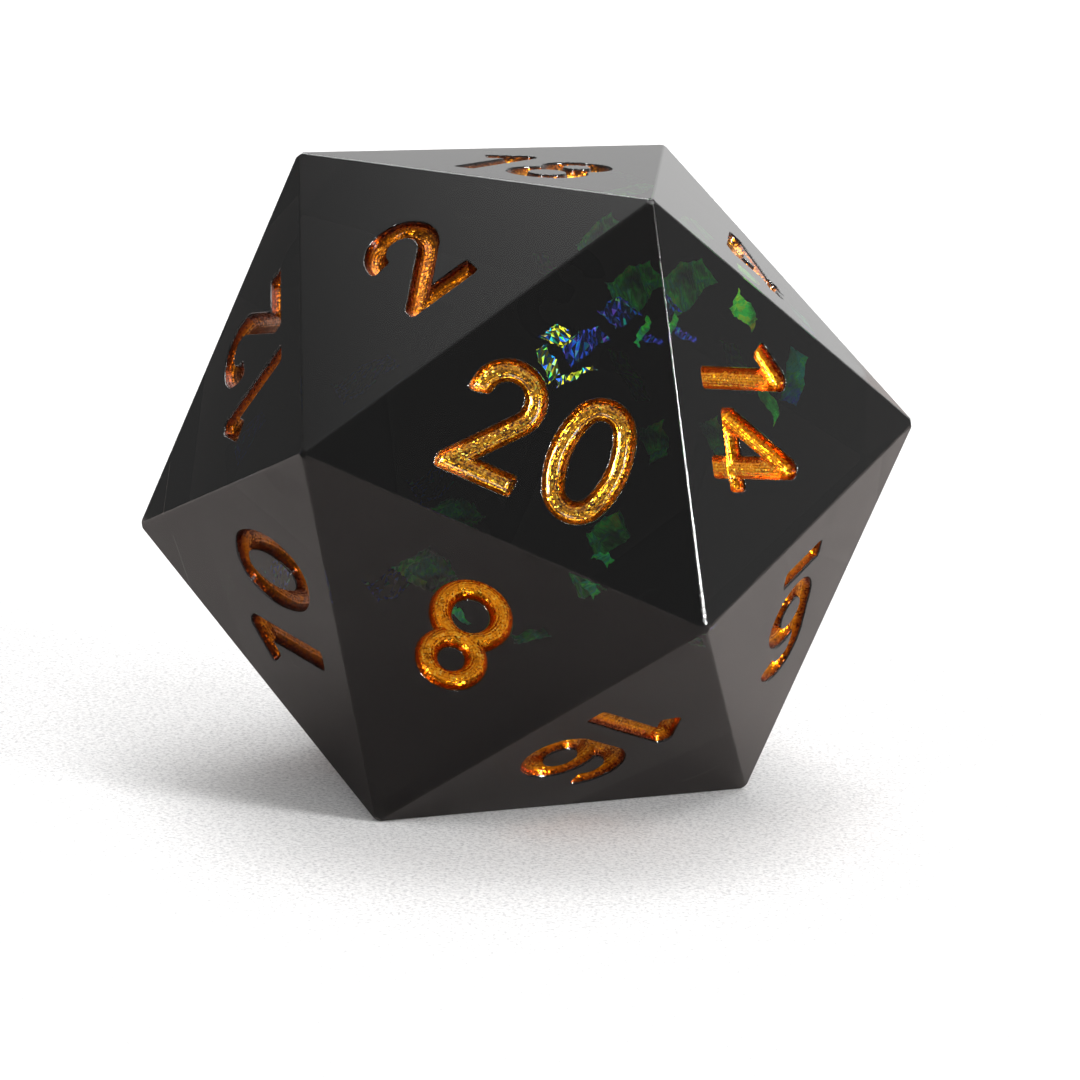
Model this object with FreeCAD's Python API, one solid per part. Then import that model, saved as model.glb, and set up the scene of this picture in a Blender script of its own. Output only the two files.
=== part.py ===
import FreeCAD, Part
import math
import os

# Twenty-sided die cast in clear smoky resin, with engraved digits, gold paint
# lying in the engravings and pieces of iridescent film cast into the core.
# Millimetres.  +Z up, the die rests on the face numbered 3 in the plane z = 0,
# the origin is under the middle of the body, and +X points at the corner of
# the rest face that the faces 6, 14 and 16 lean over.

os.makedirs("parts", exist_ok=True)
Vec = FreeCAD.Vector

# ---------------------------------------------------------------- dimensions
FACE_TO_FACE = 20.0      # distance between two opposite faces
EDGE_RADIUS = 0.15       # easing of the 30 edges left by polishing
TIP_BLUNT = 0.10         # how far the 12 corners are taken back after easing

STROKE_W = 0.70          # width of an engraved stroke at the surface
STROKE_BED_W = 0.50      # width where the drafted walls meet the round bed
STROKE_WALL_D = 0.30     # depth of the drafted walls
STROKE_D = 0.50          # full depth of the engraving
PAINT_WALL = 0.07        # paint on the walls of the engraving
PAINT_BED = 0.14         # paint lying on the bed of the engraving
PAINT_SINK = 0.02        # how far the paint stops below the face

FILM_T = 0.06            # thickness of a film flake

# ------------------------------------------------------------ the icosahedron
PHI = (1.0 + math.sqrt(5.0)) / 2.0
EDGE = FACE_TO_FACE * math.sqrt(3.0) / PHI ** 2          # 13.23
IN_R = FACE_TO_FACE / 2.0
CORNER_R = EDGE * math.sin(2.0 * math.pi / 5.0)           # 12.58
RING_1 = EDGE / math.sqrt(3.0)                            # corners of the top and rest faces
RING_2 = PHI * RING_1                                     # the six corners between
Z_2 = math.sqrt(CORNER_R ** 2 - RING_2 ** 2)
MID = Vec(0, 0, IN_R)                                     # middle of the body


def ring(radius, deg, z):
    return Vec(radius * math.cos(math.radians(deg)), radius * math.sin(math.radians(deg)), z)


# Corners, about the middle of the body.  a, b, c bound the top face (18);
# d, f, k lie below its edges; the other six are their opposites.
CORNER = {
    "a": ring(RING_1, 180, IN_R), "b": ring(RING_1, -60, IN_R), "c": ring(RING_1, 60, IN_R),
    "d": ring(RING_2, 0, Z_2), "f": ring(RING_2, -120, Z_2), "k": ring(RING_2, 120, Z_2),
}
CORNER["e"] = CORNER["k"] * -1
CORNER["g"] = CORNER["d"] * -1
CORNER["h"] = CORNER["c"] * -1
CORNER["i"] = CORNER["a"] * -1
CORNER["m"] = CORNER["b"] * -1
CORNER["n"] = CORNER["f"] * -1

# Number: the two corners under its baseline and the corner its top points at.
# The other ten faces are the opposites, which add up to 21 with these.
FRONT = {20: "feb", 2: "fba", 14: "bed", 8: "efh", 10: "hfg", 12: "fag", 16: "ehi", 6: "dei",
         18: "abc", 4: "bdc"}
OPPOSITE = {"a": "i", "i": "a", "b": "m", "m": "b", "c": "h", "h": "c", "d": "g", "g": "d",
            "e": "k", "k": "e", "f": "n", "n": "f"}


def face_axes(number):
    """Origin at the middle of the baseline edge, x along it, y to the apex, z outward."""
    if number in FRONT:
        p, q, r = [CORNER[s] for s in FRONT[number]]
    else:
        p, q, r = [CORNER[OPPOSITE[s]] for s in FRONT[21 - number]]
    middle = (p + q + r) * (1.0 / 3.0)
    if (q - p).cross(r - p).dot(middle) < 0:
        p, q = q, p
    o = (p + q) * 0.5
    x = (q - p).normalize()
    y = (r - o).normalize()
    z = x.cross(y)
    return o, x, y, z


def face_placement(number):
    o, x, y, z = face_axes(number)
    o = o + MID
    return FreeCAD.Matrix(x.x, y.x, z.x, o.x,
                          x.y, y.y, z.y, o.y,
                          x.z, y.z, z.z, o.z,
                          0, 0, 0, 1)


def polyhedron(scale):
    """The icosahedron about the middle of the body, scaled."""
    faces = []
    for number in range(1, 21):
        o, x, y, z = face_axes(number)
        if number in FRONT:
            pts = [CORNER[s] * scale for s in FRONT[number]]
        else:
            pts = [CORNER[OPPOSITE[s]] * scale for s in FRONT[21 - number]]
        if (pts[1] - pts[0]).cross(pts[2] - pts[0]).dot(pts[0]) < 0:
            pts = [pts[1], pts[0], pts[2]]
        faces.append(Part.Face(Part.makePolygon(pts + [pts[0]])))
    shell = Part.Shell(faces)
    return Part.Solid(shell)


# The body with eased edges is the smaller icosahedron grown by the edge radius.
core = polyhedron((IN_R - EDGE_RADIUS) / IN_R)
body = core.makeOffsetShape(EDGE_RADIUS, 1e-4, join=0)
if body.ShapeType != "Solid":
    body = Part.Solid(body.Shells[0])
tip_r = CORNER_R - EDGE_RADIUS * (CORNER_R / IN_R - 1.0) - TIP_BLUNT
body = body.common(Part.makeSphere(tip_r))
body.translate(MID)

# ------------------------------------------------------------------ engraving
# A digit is a set of strokes along its centre lines, in a box 4 mm high whose
# foot is y = 0, about x = 0.  ("L", x0, y0, x1, y1, end0, end1) is straight and
# ("A", cx, cy, r, from, to, end0, end1) runs anticlockwise; an end is "f" where
# it is free and "j" where it runs into another stroke.  ("D", x, y) rounds a
# corner off.  ("C", stroke, x0, y0, x1, y1) keeps a stroke inside that box.
# The 0 is an oval of four tangent arcs: end arcs of OVAL_R about (0, +-OVAL_C)
# and side arcs about (+-OVAL_OFF, 0).
OVAL_R, OVAL_C, OVAL_HALF = 0.72, 0.93, 0.92
OVAL_OFF = (OVAL_C ** 2 - (OVAL_HALF - OVAL_R) ** 2) / (2.0 * (OVAL_HALF - OVAL_R))
OVAL_SIDE = OVAL_OFF + OVAL_HALF
OVAL_A = math.degrees(math.atan2(OVAL_C, OVAL_OFF))
TWO_A = -40.5
_tx = 0.03 + 0.88 * math.cos(math.radians(TWO_A))
_ty = 2.75 + 0.88 * math.sin(math.radians(TWO_A))
_dx, _dy = math.sin(math.radians(TWO_A)), -math.cos(math.radians(TWO_A))
_s = (_ty + 0.3) / -_dy
TWO_FOOT = (_tx + _dx * _s, _ty + _dy * _s)
FIVE_C, FIVE_R, FIVE_A = (-0.08, 1.32), 0.97, 134.0
FIVE_P = (FIVE_C[0] + FIVE_R * math.cos(math.radians(FIVE_A)), FIVE_C[1] + FIVE_R * math.sin(math.radians(FIVE_A)))

DIGIT = {
    "0": [("A", 0, 2.0 + OVAL_C, OVAL_R, OVAL_A, 180 - OVAL_A, "j", "j"),
          ("A", OVAL_OFF, 2.0, OVAL_SIDE, 180 - OVAL_A, 180 + OVAL_A, "j", "j"),
          ("A", 0, 2.0 - OVAL_C, OVAL_R, 180 + OVAL_A, 360 - OVAL_A, "j", "j"),
          ("A", -OVAL_OFF, 2.0, OVAL_SIDE, -OVAL_A, OVAL_A, "j", "j")],
    "1": [("L", 0, 0.0, 0, 3.65, "f", "j"), ("L", 0, 3.65, -0.98, 2.82, "j", "f"), ("D", 0, 3.65)],
    "2": [("A", 0.03, 2.75, 0.88, TWO_A, 190, "j", "f"),
          ("C", ("L", _tx, _ty, TWO_FOOT[0], TWO_FOOT[1], "j", "j"), -1.25, 0.0, 2.0, 4.0),
          ("L", -1.0, 0.35, 1.25, 0.35, "j", "f")],
    "3": [("A", 0, 2.87, 0.78, -90, 160, "j", "f"), ("A", 0, 1.22, 0.87, -160, 90, "f", "j"),
          ("L", 0, 2.09, -0.32, 2.09, "j", "f")],
    "4": [("L", 0.55, 0.0, 0.55, 3.65, "f", "j"), ("L", 0.55, 3.65, -1.0, 1.05, "j", "j"),
          ("L", -1.3, 1.05, 1.32, 1.05, "f", "f"), ("D", 0.55, 3.65)],
    "5": [("L", -1.05, 3.65, 1.0, 3.65, "f", "f"), ("L", -0.68, 3.65, FIVE_P[0], FIVE_P[1], "j", "j"),
          ("A", FIVE_C[0], FIVE_C[1], FIVE_R, -150, FIVE_A, "f", "j"), ("D", FIVE_P[0], FIVE_P[1])],
    "6": [("A", 0, 1.30, 0.92, 180, 540, "j", "j"), ("L", -0.92, 1.30, -0.92, 2.73, "j", "j"),
          ("A", 0, 2.73, 0.92, 25, 180, "f", "j")],
    "7": [("L", -1.2, 3.65, 1.2, 3.65, "f", "f"),
          ("C", ("L", 0.86, 3.65, -0.42, -0.3, "j", "j"), -1.25, 0.0, 1.2, 4.0)],
    "8": [("A", 0, 1.27, 0.95, 0, 360, "j", "j"), ("A", 0, 3.0, 0.78, 0, 360, "j", "j")],
    "9": [("A", 0, 2.70, 0.92, 0, 360, "j", "j"), ("L", 0.92, 2.70, 0.92, 1.27, "j", "j"),
          ("A", 0, 1.27, 0.92, -155, 0, "f", "j")],
    "bar": [("L", -1.15, 0.0, 1.15, 0.0, "f", "f")],
}

# Where the digits stand on each face: (digit, x, foot height) from the
# middle of the baseline edge.
LAYOUT = {
    20: [("2", -1.65, 1.30), ("0", 1.37, 1.30)],
    14: [("1", -1.17, 1.27), ("4", 1.05, 1.27)],
    10: [("1", -1.25, 1.30), ("0", 1.33, 1.30)],
    16: [("1", -1.28, 1.30), ("6", 1.10, 1.30)],
    12: [("1", -1.15, 1.30), ("2", 1.32, 1.30)],
    18: [("1", -1.20, 1.30), ("8", 1.15, 1.30)],
    11: [("1", -0.55, 1.30), ("1", 1.20, 1.30)],
    13: [("1", -1.20, 1.30), ("3", 1.15, 1.30)],
    15: [("1", -1.20, 1.30), ("5", 1.20, 1.30)],
    17: [("1", -1.20, 1.30), ("7", 1.20, 1.30)],
    19: [("1", -1.20, 1.30), ("9", 1.15, 1.30)],
    1: [("1", 0.25, 1.75)], 2: [("2", 0.0, 2.02)], 3: [("3", 0.0, 1.80)], 4: [("4", 0.0, 1.80)],
    5: [("5", 0.0, 1.80)], 7: [("7", 0.0, 1.90)], 8: [("8", 0.0, 1.68)],
    6: [("6", 0.0, 2.45), ("bar", 0.0, 1.72)], 9: [("9", 0.0, 2.45), ("bar", 0.0, 1.72)],
}

ABOVE = 0.30             # how far the cutter stands above the face


def section(half_w, half_bed, wall_d, depth):
    """Half profile points of the cutter: (sideways, up)."""
    return [(half_w, ABOVE), (half_w, 0.0), (half_bed, -wall_d), (0.0, -depth)]


OUTER = section(STROKE_W / 2, STROKE_BED_W / 2, STROKE_WALL_D, STROKE_D)
INNER = section(STROKE_W / 2 - PAINT_WALL, STROKE_BED_W / 2 - PAINT_WALL * 0.9,
                STROKE_WALL_D - 0.04, STROKE_D - PAINT_BED)


def profile_face(prof, place):
    """The full U profile as a face; place(u, v) gives the point."""
    (w, top), (w0, z0), (wb, zb), (_, zd) = prof
    pts = [place(w, top), place(w, z0), place(wb, zb)]
    left = [place(-wb, zb), place(-w, z0), place(-w, top)]
    arc = Part.Arc(pts[2], place(0, zd), left[0]).toShape()
    edges = [Part.makeLine(pts[0], pts[1]), Part.makeLine(pts[1], pts[2]), arc,
             Part.makeLine(left[0], left[1]), Part.makeLine(left[1], left[2]),
             Part.makeLine(left[2], pts[0])]
    return Part.Face(Part.Wire(edges))


def half_face(prof, place):
    """One half of the profile, for a turned pocket."""
    (w, top), (w0, z0), (wb, zb), (_, zd) = prof
    # the bed arc of the full profile, split at its lowest point
    rise = zb - zd
    r = (wb * wb + rise * rise) / (2.0 * rise)
    half = 0.5 * math.asin(wb / r)
    a, b = place(wb, zb), place(0, zd)
    m = place(r * math.sin(half), zd + r - r * math.cos(half))
    arc = Part.Arc(a, m, b).toShape()
    edges = [Part.makeLine(place(0, top), place(w, top)), Part.makeLine(place(w, top), place(w, z0)),
             Part.makeLine(place(w, z0), a), arc, Part.makeLine(b, place(0, top))]
    return Part.Face(Part.Wire(edges))


def stroke_solid(st, prof, pull):
    """The cutter along one stroke.  pull takes a free end back by the paint wall."""
    kind = st[0]
    if kind == "C":
        _, inner, x0, y0, x1, y1 = st
        s = stroke_solid(inner, prof, 0.0)
        box = Part.makeBox(x1 - x0 - 2 * pull, y1 - y0 - 2 * pull, 3.0, Vec(x0 + pull, y0 + pull, -1.5))
        return s.common(box)
    if kind == "D":
        _, x, y = st
        f = half_face(prof, lambda u, v: Vec(x + u, y, v))
        return f.revolve(Vec(x, y, 0), Vec(0, 0, 1), 360)
    if kind == "L":
        _, x0, y0, x1, y1, e0, e1 = st
        d = Vec(x1 - x0, y1 - y0, 0)
        length = d.Length
        d.normalize()
        a = Vec(x0, y0, 0) + d * (pull if e0 == "f" else 0.0)
        length -= (pull if e0 == "f" else 0.0) + (pull if e1 == "f" else 0.0)
        side = Vec(-d.y, d.x, 0)
        f = profile_face(prof, lambda u, v: a + side * u + Vec(0, 0, v))
        return f.extrude(d * length)
    _, cx, cy, r, a0, a1, e0, e1 = st
    step = math.degrees(pull / r)
    a0 += step if e0 == "f" else 0.0
    a1 -= step if e1 == "f" else 0.0
    u0 = Vec(math.cos(math.radians(a0)), math.sin(math.radians(a0)), 0)
    c = Vec(cx, cy, 0)
    f = profile_face(prof, lambda u, v: c + u0 * (r + u) + Vec(0, 0, v))
    return f.revolve(c, Vec(0, 0, 1), a1 - a0)


def cutter(name, prof, pull):
    solids = [stroke_solid(st, prof, pull) for st in DIGIT[name]]
    s = solids[0]
    if len(solids) > 1:
        s = s.multiFuse(solids[1:])
        s = s.removeSplitter()
    return s


tools = {}
paints = {}
slab = Part.makeBox(20, 20, 5, Vec(-10, -10, -5 - PAINT_SINK))
for name in DIGIT:
    outer = cutter(name, OUTER, 0.0)
    inner = cutter(name, INNER, PAINT_WALL)
    tools[name] = outer
    paint = outer.common(slab).cut(inner)
    if paint.ShapeType == "Compound" and len(paint.Solids) == 1:
        paint = paint.Solids[0]
    paints[name] = paint
    print("digit", name, "valid", outer.isValid(), paint.isValid(), "solids", len(outer.Solids),
          len(paint.Solids), "faces", len(outer.Faces), len(paint.Faces), "volume", round(paint.Volume, 4))

nodes = {}
cuts = []
for number in sorted(LAYOUT):
    m = face_placement(number)
    count = 0
    for name, x, y in LAYOUT[number]:
        count += 1
        shift = FreeCAD.Matrix()
        shift.move(Vec(x, y, 0))
        t = tools[name].transformed(shift).transformed(m)
        p = paints[name].transformed(shift).transformed(m)
        cuts.append(t)
        if name == "bar":
            node = "paint_%02d_bar" % number
        elif len(LAYOUT[number]) == 1 or LAYOUT[number][1][0] == "bar":
            node = "paint_%02d_digit" % number
        else:
            node = "paint_%02d_%s" % (number, "tens" if count == 1 else "units")
        nodes[node] = p

# ------------------------------------------------------------------ film flakes
# Each flake is a strip of film creased across its length: a zigzag section of
# FILM_T thick, drawn out sideways and trimmed to a ragged outline.  Given as
# (centre, direction along, direction across, crease steps (length, rise),
# half width at each end).
FLAKES = [
    ((1.15, -6.95, 15.62), (0.60, 0.55, -0.58), (0.75, -0.14, 0.65), [(0.37, -0.16), (0.44, 0.11), (0.37, -0.21)], 0.40, 0.30),
    ((0.91, -7.70, 14.93), (0.40, 0.17, -0.90), (0.76, 0.49, 0.43), [(0.34, -0.1), (0.46, 0.22), (0.38, -0.16)], 0.22, 0.28),
    ((1.75, -7.75, 14.64), (0.80, 0.52, 0.31), (-0.14, -0.34, 0.93), [(0.37, -0.13), (0.31, 0.16), (0.37, -0.16), (0.39, 0.17)], 0.16, 0.10),
    ((1.80, -5.58, 15.12), (0.60, 0.75, 0.28), (-0.46, 0.03, 0.89), [(0.54, -0.17), (0.47, 0.2), (0.44, -0.2), (0.42, 0.22)], 0.42, 0.34),
    ((2.74, -3.80, 15.76), (0.44, 0.88, 0.20), (-0.77, 0.25, 0.58), [(0.64, -0.19), (0.56, 0.2), (0.49, -0.27)], 0.40, 0.48),
    ((3.06, -1.24, 16.05), (0.45, 0.86, 0.24), (-0.50, 0.02, 0.86), [(0.65, -0.2), (0.71, 0.23), (0.76, -0.25), (0.56, 0.18)], 0.70, 0.55),
    ((3.72, -3.80, 15.02), (0.63, 0.64, -0.44), (-0.06, 0.61, 0.79), [(0.49, -0.2), (0.59, 0.29)], 0.18, 0.14),
    ((2.71, -4.46, 8.88), (0.42, 0.89, 0.18), (-0.39, -0.01, 0.92), [(0.79, -0.2), (0.74, 0.44), (0.82, -0.4)], 0.45, 0.55),
    ((3.56, -5.07, 15.51), (0.19, 0.83, 0.52), (-0.56, -0.34, 0.76), [(0.38, -0.1), (0.51, 0.23), (0.42, -0.15)], 0.12, 0.16),
    ((5.38, -0.94, 15.34), (0.17, 0.78, -0.61), (0.38, 0.52, 0.77), [(0.64, -0.2), (0.63, 0.34), (0.74, -0.22)], 0.42, 0.30),
    ((6.46, 1.71, 12.65), (-0.32, -0.03, -0.95), (0.95, -0.03, -0.32), [(0.52, -0.16), (0.4, 0.19), (0.54, -0.14), (0.53, 0.17)], 0.40, 0.45),
    ((5.99, -0.55, 12.34), (0.19, 0.59, -0.78), (0.43, 0.67, 0.61), [(0.63, -0.16), (0.68, 0.34), (0.73, -0.4)], 0.22, 0.26),
    ((3.90, -1.52, 11.16), (0.18, 0.47, -0.86), (0.90, 0.27, 0.34), [(0.49, -0.18), (0.5, 0.29), (0.62, -0.23)], 0.42, 0.36),
    ((-2.20, -2.59, 8.71), (0.54, 0.70, -0.46), (0.79, -0.23, 0.57), [(0.85, -0.31), (0.94, 0.25), (0.74, -0.29)], 0.75, 0.60),
    ((-2.70, -4.41, 8.43), (0.76, 0.47, -0.44), (0.27, 0.39, 0.88), [(0.43, -0.24), (0.52, 0.23)], 0.14, 0.18),
    ((-1.28, -6.07, 7.37), (0.56, 0.67, -0.48), (0.82, -0.36, 0.45), [(0.42, -0.21), (0.44, 0.25), (0.35, -0.16)], 0.18, 0.12),
    ((0.93, -4.63, 6.82), (0.81, 0.53, 0.26), (-0.44, 0.25, 0.86), [(0.3, -0.12), (0.38, 0.21), (0.37, -0.1), (0.32, 0.1)], 0.16, 0.22),
    ((2.73, -6.72, 8.69), (0.49, 0.73, -0.47), (0.81, -0.18, 0.56), [(0.55, -0.17), (0.43, 0.16)], 0.18, 0.20),
    ((-3.20, 4.20, 8.20), (0.81, 0.30, 0.51), (-0.20, 0.50, 0.80), [(0.68, -0.38), (0.84, 0.26), (0.8, -0.22)], 0.50, 0.40),
    ((2.60, 5.60, 11.60), (-0.61, 0.51, 0.61), (0.50, 0.80, -0.10), [(0.69, -0.23), (0.56, 0.16), (0.68, -0.32)], 0.40, 0.50),
]


def flake(centre, along, across, steps, w0, w1):
    """A creased strip; steps are (run, rise) pairs along it."""
    x = Vec(*along).normalize()
    y = Vec(*across)
    y = (y - x * y.dot(x)).normalize()
    z = x.cross(y)
    pts = [(0.0, 0.0)]
    for run, rise in steps:
        pts.append((pts[-1][0] + run, pts[-1][1] + rise))
    mx = (pts[0][0] + pts[-1][0]) / 2.0
    mz = sum(q[1] for q in pts) / len(pts)
    pts = [(q[0] - mx, q[1] - mz) for q in pts]
    low = [Vec(q[0], -5, q[1]) for q in pts]
    high = [Vec(q[0], -5, q[1] + FILM_T) for q in reversed(pts)]
    loop = low + high
    strip = Part.Face(Part.makePolygon(loop + [loop[0]])).extrude(Vec(0, 10, 0))
    h = (pts[-1][0] - pts[0][0]) / 2.0
    outline = [Vec(-h, -w0, -5), Vec(-h * 0.35, -(w0 * 0.8 + w1 * 0.35), -5), Vec(h * 0.5, -w1 * 0.85, -5),
               Vec(h, -w1, -5), Vec(h * 0.86, w1 * 0.7, -5), Vec(0, (w0 + w1) * 0.55, -5),
               Vec(-h * 0.62, w0 * 0.75, -5), Vec(-h * 0.97, w0, -5)]
    cut = Part.Face(Part.makePolygon(outline + [outline[0]])).extrude(Vec(0, 0, 10))
    s = strip.common(cut)
    if s.ShapeType == "Compound":
        s = s.Solids[0]
    o = Vec(*centre)
    m = FreeCAD.Matrix(x.x, y.x, z.x, o.x,
                       x.y, y.y, z.y, o.y,
                       x.z, y.z, z.z, o.z,
                       0, 0, 0, 1)
    return s.transformed(m)


film = {}
for k, spec in enumerate(FLAKES):
    film["film_flake_%02d" % (k + 1)] = flake(*spec)

body = body.cut(cuts + list(film.values()))
if body.ShapeType == "Compound":
    body = body.Solids[0]
nodes["resin_body"] = body
nodes.update(film)

for node in sorted(nodes):
    s = nodes[node]
    if not s.isValid() or len(s.Solids) != 1:
        print("CHECK", node, "valid", s.isValid(), "solids", len(s.Solids))
    s.exportStep("parts/%s.step" % node)
bb = body.BoundBox
print("nodes", len(nodes), "body volume", round(body.Volume, 2), "box",
      [round(v, 3) for v in (bb.XMin, bb.YMin, bb.ZMin, bb.XMax, bb.YMax, bb.ZMax)],
      "faces", len(body.Faces), "valid", body.isValid())
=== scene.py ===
import math

import bpy
import numpy as np
from mathutils import Matrix, Vector
from mathutils.geometry import delaunay_2d_cdt


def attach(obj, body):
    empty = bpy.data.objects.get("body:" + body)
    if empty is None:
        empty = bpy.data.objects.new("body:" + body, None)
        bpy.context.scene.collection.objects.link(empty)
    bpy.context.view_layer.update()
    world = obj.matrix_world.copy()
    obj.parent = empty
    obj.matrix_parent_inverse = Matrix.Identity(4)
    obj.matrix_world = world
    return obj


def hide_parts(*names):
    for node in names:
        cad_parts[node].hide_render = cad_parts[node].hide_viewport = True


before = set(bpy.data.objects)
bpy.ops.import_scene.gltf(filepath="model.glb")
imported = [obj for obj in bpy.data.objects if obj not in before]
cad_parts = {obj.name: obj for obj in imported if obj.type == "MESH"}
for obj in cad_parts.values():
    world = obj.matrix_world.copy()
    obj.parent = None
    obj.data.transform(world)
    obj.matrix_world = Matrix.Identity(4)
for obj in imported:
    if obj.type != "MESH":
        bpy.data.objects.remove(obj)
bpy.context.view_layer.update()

MM = 0.001

# ------------------------------------------------------------------ icosahedron
FACE_TO_FACE = 20.0
EDGE_R = 0.15
TIP_BLUNT = 0.10
TIP_SOFT = 0.06
PHI = (1.0 + math.sqrt(5.0)) / 2.0
EDGE = FACE_TO_FACE * math.sqrt(3.0) / PHI ** 2
IN_R = FACE_TO_FACE / 2.0
CORNER_R = EDGE * math.sin(2.0 * math.pi / 5.0)
RING_1 = EDGE / math.sqrt(3.0)
RING_2 = PHI * RING_1
Z_2 = math.sqrt(CORNER_R ** 2 - RING_2 ** 2)
MID = np.array([0.0, 0.0, IN_R])
TIP_R = CORNER_R - EDGE_R * (CORNER_R / IN_R - 1.0) - TIP_BLUNT


def unit(v):
    v = np.asarray(v, float)
    return v / np.linalg.norm(v)


def ring(radius, deg, z):
    return np.array([radius * math.cos(math.radians(deg)), radius * math.sin(math.radians(deg)), z])


CORNER = {
    "a": ring(RING_1, 180, IN_R), "b": ring(RING_1, -60, IN_R), "c": ring(RING_1, 60, IN_R),
    "d": ring(RING_2, 0, Z_2), "f": ring(RING_2, -120, Z_2), "k": ring(RING_2, 120, Z_2),
}
for new, old in (("e", "k"), ("g", "d"), ("h", "c"), ("i", "a"), ("m", "b"), ("n", "f")):
    CORNER[new] = -CORNER[old]
FRONT = {20: "feb", 2: "fba", 14: "bed", 8: "efh", 10: "hfg", 12: "fag", 16: "ehi", 6: "dei",
         18: "abc", 4: "bdc"}
OPPOSITE = {"a": "i", "i": "a", "b": "m", "m": "b", "c": "h", "h": "c", "d": "g", "g": "d",
            "e": "k", "k": "e", "f": "n", "n": "f"}


def face_corners(number):
    """Corner letters of a face: the two under its baseline, left then right, and its apex."""
    if number in FRONT:
        p, q, r = FRONT[number]
    else:
        p, q, r = [OPPOSITE[s] for s in FRONT[21 - number]]
    P, Q, R = CORNER[p], CORNER[q], CORNER[r]
    if np.dot(np.cross(Q - P, R - P), P + Q + R) < 0:
        p, q = q, p
    return p, q, r


def face_axes(number):
    p, q, r = [CORNER[s] for s in face_corners(number)]
    o = (p + q) / 2.0
    x = unit(q - p)
    y = unit(r - o)
    return o, x, y, np.cross(x, y)


# --------------------------------------------------------------------- digits
STROKE = 0.35            # half width of a stroke at the face
END_ROUND = 0.11         # rounding of the outer corners of a stroke's end
OVAL_R, OVAL_C, OVAL_HALF = 0.72, 0.93, 0.92
OVAL_OFF = (OVAL_C ** 2 - (OVAL_HALF - OVAL_R) ** 2) / (2.0 * (OVAL_HALF - OVAL_R))
OVAL_SIDE = OVAL_OFF + OVAL_HALF
OVAL_A = math.degrees(math.atan2(OVAL_C, OVAL_OFF))
TWO_A = -40.5
_tx = 0.03 + 0.88 * math.cos(math.radians(TWO_A))
_ty = 2.75 + 0.88 * math.sin(math.radians(TWO_A))
_dx, _dy = math.sin(math.radians(TWO_A)), -math.cos(math.radians(TWO_A))
_s = (_ty + 0.3) / -_dy
TWO_FOOT = (_tx + _dx * _s, _ty + _dy * _s)
FIVE_C, FIVE_R, FIVE_A = (-0.08, 1.32), 0.97, 134.0
FIVE_P = (FIVE_C[0] + FIVE_R * math.cos(math.radians(FIVE_A)), FIVE_C[1] + FIVE_R * math.sin(math.radians(FIVE_A)))

DIGIT = {
    "0": [("A", 0, 2.0 + OVAL_C, OVAL_R, OVAL_A, 180 - OVAL_A, "j", "j"),
          ("A", OVAL_OFF, 2.0, OVAL_SIDE, 180 - OVAL_A, 180 + OVAL_A, "j", "j"),
          ("A", 0, 2.0 - OVAL_C, OVAL_R, 180 + OVAL_A, 360 - OVAL_A, "j", "j"),
          ("A", -OVAL_OFF, 2.0, OVAL_SIDE, -OVAL_A, OVAL_A, "j", "j")],
    "1": [("L", 0, 0.0, 0, 3.65, "f", "j"), ("L", 0, 3.65, -0.98, 2.82, "j", "f"), ("D", 0, 3.65)],
    "2": [("A", 0.03, 2.75, 0.88, TWO_A, 190, "j", "f"),
          ("C", ("L", _tx, _ty, TWO_FOOT[0], TWO_FOOT[1], "j", "j"), -1.25, 0.0, 2.0, 4.0),
          ("L", -1.0, 0.35, 1.25, 0.35, "j", "f")],
    "3": [("A", 0, 2.87, 0.78, -90, 160, "j", "f"), ("A", 0, 1.22, 0.87, -160, 90, "f", "j"),
          ("L", 0, 2.09, -0.32, 2.09, "j", "f")],
    "4": [("L", 0.55, 0.0, 0.55, 3.65, "f", "j"), ("L", 0.55, 3.65, -1.0, 1.05, "j", "j"),
          ("L", -1.3, 1.05, 1.32, 1.05, "f", "f"), ("D", 0.55, 3.65)],
    "5": [("L", -1.05, 3.65, 1.0, 3.65, "f", "f"), ("L", -0.68, 3.65, FIVE_P[0], FIVE_P[1], "j", "j"),
          ("A", FIVE_C[0], FIVE_C[1], FIVE_R, -150, FIVE_A, "f", "j"), ("D", FIVE_P[0], FIVE_P[1])],
    "6": [("A", 0, 1.30, 0.92, 180, 540, "j", "j"), ("L", -0.92, 1.30, -0.92, 2.73, "j", "j"),
          ("A", 0, 2.73, 0.92, 25, 180, "f", "j")],
    "7": [("L", -1.2, 3.65, 1.2, 3.65, "f", "f"),
          ("C", ("L", 0.86, 3.65, -0.42, -0.3, "j", "j"), -1.25, 0.0, 1.2, 4.0)],
    "8": [("A", 0, 1.27, 0.95, 0, 360, "j", "j"), ("A", 0, 3.0, 0.78, 0, 360, "j", "j")],
    "9": [("A", 0, 2.70, 0.92, 0, 360, "j", "j"), ("L", 0.92, 2.70, 0.92, 1.27, "j", "j"),
          ("A", 0, 1.27, 0.92, -155, 0, "f", "j")],
    "bar": [("L", -1.15, 0.0, 1.15, 0.0, "f", "f")],
}
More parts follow.
